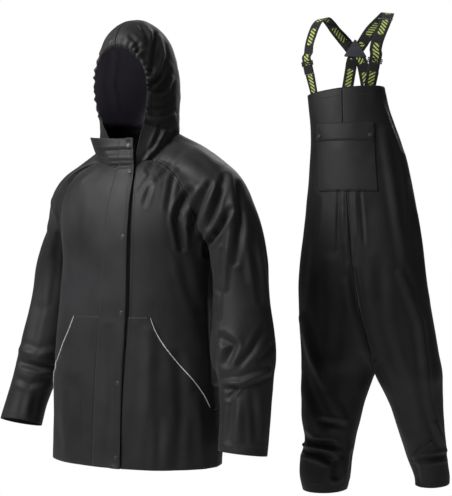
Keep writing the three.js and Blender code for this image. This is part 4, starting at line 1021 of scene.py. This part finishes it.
def bandRows(node):
    # the loops of four corners along a band, found by steps from one end
    bm = bmesh.new()
    bm.from_mesh(nodes[node].data)
    bmesh.ops.remove_doubles(bm, verts=bm.verts, dist=0.02 * mm)
    verts = list(bm.verts)
    thin = min(edge.calc_length() for edge in bm.edges)
    partners = {}
    for edge in bm.edges:
        if edge.calc_length() < thin * 1.05:
            a, b = edge.verts
            partners[a] = b
            partners[b] = a
    lengthOf = {}
    for vert in verts:
        for edge in vert.link_edges:
            lengthOf[(vert, edge.other_vert(vert))] = edge.calc_length()
    wide = bandWidth(lengthOf, partners)
    rows = []
    left = set(partners)
    while left:
        first = left.pop()
        under = partners[first]
        across = [edge.other_vert(first) for edge in first.link_edges
                  if abs(edge.calc_length() - wide) < 0.2 * mm and edge.other_vert(first) in left]
        if not across:
            continue
        row = [first, under, partners[across[0]], across[0]]
        left -= set(row)
        rows.append([vert.co.copy() for vert in row])
    ordered = [max(rows, key=lambda row: bandFarness(row, rows))]
    rest = [row for row in rows if row is not ordered[0]]
    while rest:
        here = sum(ordered[-1], Vector()) / 4
        nearest = min(rest, key=lambda row: (sum(row, Vector()) / 4 - here).length)
        rest.remove(nearest)
        ordered.append(nearest)
    bm.free()
    return ordered


def bandWidth(lengthOf, partners):
    # the length that both ends of a band share, other than its thickness
    counts = {}
    for pair, length in lengthOf.items():
        if pair[0] in partners and partners[pair[0]] is not pair[1]:
            key = round(length * 10000)
            counts[key] = counts.get(key, 0) + 1
    return max(counts, key=counts.get) / 10000


def bandFarness(row, rows):
    here = sum(row, Vector()) / 4
    gaps = sorted((sum(other, Vector()) / 4 - here).length for other in rows)
    second = gaps[2] if len(gaps) > 2 else gaps[-1]
    return second - here.z * 0.5


def catmull(points, share):
    count = len(points) - 1
    place = share * count
    index = min(int(place), count - 1)
    t = place - index
    a = points[max(index - 1, 0)]
    b = points[index]
    c = points[index + 1]
    d = points[min(index + 2, count)]
    return 0.5 * ((2 * b) + (c - a) * t + (2 * a - 5 * b + 4 * c - d) * t ** 2 + (3 * b - a - 3 * c + d) * t ** 3)


def makeBand(node, name, material, step=3.0 * mm, offset=0.0, through=0.0):
    rows = bandRows(node)
    middles = [sum(row, Vector()) / 4 for row in rows]
    if through:
        low = 0 if middles[0].y < middles[-1].y else -1
        beside = 1 if low == 0 else -2
        longer = (middles[low] - middles[beside]).normalized() * through
        middles[low] = middles[low] + longer
    # each loop's width is its longer side
    sideWays = []
    faceWays = []
    widths = []
    thicks = []
    for row in rows:
        pairs = sorted(((row[0] - other).length, index) for index, other in enumerate(row) if index)
        thick = pairs[0][0]
        width = pairs[1][0]
        wide = row[pairs[1][1]] - row[0]
        short = row[pairs[0][1]] - row[0]
        if sideWays and wide.dot(sideWays[-1]) < 0:
            wide = -wide
        if faceWays and short.dot(faceWays[-1]) < 0:
            short = -short
        sideWays.append(wide.normalized())
        faceWays.append(short.normalized())
        widths.append(width)
        thicks.append(thick)
    length = sum((b - a).length for a, b in zip(middles, middles[1:]))
    steps = max(int(length / step), 4)
    corners = [(-0.5, -0.25), (-0.46, -0.5), (-0.2, -0.5), (0.2, -0.5), (0.46, -0.5), (0.5, -0.25),
               (0.5, 0.25), (0.46, 0.5), (0.2, 0.5), (-0.2, 0.5), (-0.46, 0.5), (-0.5, 0.25)]
    bm = bmesh.new()
    layer = bm.loops.layers.uv.new("UVMap")
    along = 0.0
    previous = None
    loops = []
    alongs = []
    for number in range(steps + 1):
        share = number / steps
        middle = catmull(middles, share)
        side = catmull(sideWays, share).normalized()
        face = catmull(faceWays, share).normalized()
        width = widths[0]
        thick = thicks[0]
        if previous is not None:
            along += (middle - previous).length
        previous = middle
        loops.append([bm.verts.new(middle + side * (a * width) + face * (b * thick)) for a, b in corners])
        alongs.append(along + offset)
    count = len(corners)
    for number in range(steps):
        for corner in range(count):
            following = (corner + 1) % count
            face = bm.faces.new((loops[number][corner], loops[number][following],
                                 loops[number + 1][following], loops[number + 1][corner]))
            face.smooth = True
            places = ((corner, number), (corner + 1, number), (corner + 1, number + 1), (corner, number + 1))
            for loop, (c, n) in zip(face.loops, places):
                wrapped = corners[c % count]
                loop[layer].uv = (wrapped[0] * widths[0], alongs[n])
    bm.faces.new(list(reversed(loops[0])))
    bm.faces.new(loops[-1])
    bmesh.ops.recalc_face_normals(bm, faces=bm.faces)
    mesh = bpy.data.meshes.new(name)
    bm.to_mesh(mesh)
    bm.free()
    band = newObject(name, mesh)
    makeActive(band)
    bpy.ops.object.shade_smooth_by_angle(angle=0.9)
    mesh.materials.append(material)
    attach(band, "root")
    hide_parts(node)
    print(name, "is", round(along, 3), "m long and", round(widths[0], 3), "m wide")


for side in ("right", "left"):
    makeBand(f"overalls_brace_{side}", f"brace_{side}", braceWebbing,
             offset=0.030 if side == "right" else 0.010, through=braceLook["throughAdjuster"])
    makeBand(f"overalls_brace_lower_{side}", f"braceLower_{side}", braceWebbing, offset=-0.012)
    makeBand(f"overalls_brace_loop_{side}", f"braceLoop_{side}", loopWebbing)
print("braces made")

patchMaterial, patchTree, patchShader = newMaterial("backPatch", 0.58, 0.4)
patchGrain = placeGroup(patchTree, grainGroup, Grain_Scale=700.0, Crease_Scale=220.0, Mottle_Scale=40.0)
patchTree.links.new(mixColours(patchTree, patchGrain.outputs["Mottle"], (0.036, 0.038, 0.052), (0.052, 0.054, 0.070)),
                    patchShader.inputs["Base Color"])
addBump(patchTree, patchShader, patchGrain.outputs["Height"], 0.5, 0.0008)
smoothCopy("overalls_back_patch", "bracePatch", patchMaterial, bevel=0.7 * mm)

# Camera, light and the plain white surroundings
cameraData = bpy.data.cameras.new("camera")
cameraData.lens = view["lens"]
cameraData.sensor_width = view["sensor"]
cameraData.clip_end = 60.0
camera = bpy.data.objects.new("camera", cameraData)
bpy.context.scene.collection.objects.link(camera)
camera.location = view["place"]
camera.rotation_euler = (math.radians(90), 0.0, 0.0)
bpy.context.scene.camera = camera

lights = {
    "key": {"place": (-2.1, -1.4, 1.7), "size": 1.9, "power": 116.0},
    "fill": {"place": (3.2, -2.6, 0.6), "size": 2.6, "power": 6.0},
    "back": {"place": (1.2, 3.4, 1.7), "size": 2.6, "power": 60.0},
    "below": {"place": (0.2, -2.2, -1.7), "size": 1.6, "power": 1.5},
}
lookAt = Vector((0.25, 0.0, -0.25))
for name, facts in lights.items():
    data = bpy.data.lights.new(name, "AREA")
    data.shape = "SQUARE"
    data.size = facts["size"]
    data.energy = facts["power"]
    lamp = bpy.data.objects.new(name, data)
    bpy.context.scene.collection.objects.link(lamp)
    lamp.location = facts["place"]
    lamp.rotation_euler = (lookAt - lamp.location).to_track_quat("-Z", "Y").to_euler()

world = bpy.data.worlds.new("white")
bpy.context.scene.world = world
world.use_nodes = True
worldTree = world.node_tree
background = worldTree.nodes["Background"]
background.inputs["Color"].default_value = (1.0, 1.0, 1.0, 1.0)
background.inputs["Strength"].default_value = 0.07
seen = worldTree.nodes.new("ShaderNodeBackground")
seen.inputs["Color"].default_value = (1.0, 1.0, 1.0, 1.0)
seen.inputs["Strength"].default_value = 1.0
pathNode = worldTree.nodes.new("ShaderNodeLightPath")
mixNode = worldTree.nodes.new("ShaderNodeMixShader")
worldTree.links.new(pathNode.outputs["Is Camera Ray"], mixNode.inputs["Fac"])
worldTree.links.new(background.outputs["Background"], mixNode.inputs[1])
worldTree.links.new(seen.outputs["Background"], mixNode.inputs[2])
worldTree.links.new(mixNode.outputs["Shader"], worldTree.nodes["World Output"].inputs["Surface"])
bpy.context.scene.view_settings.view_transform = "Standard"

floorLook = {"level": -1.9, "size": 9.0}
clearSelection()
bpy.ops.mesh.primitive_grid_add(x_subdivisions=4, y_subdivisions=4, size=floorLook["size"], location=(0, 0, floorLook["level"]))
floor = bpy.context.active_object
floor.name = "floor"
bpy.ops.object.transform_apply(location=True, rotation=True, scale=True)
floorMaterial, floorTree, floorShader = newMaterial("paleFloor", 0.9, 0.1)
floorShader.inputs["Base Color"].default_value = (0.9, 0.9, 0.9, 1.0)
floor.data.materials.append(floorMaterial)
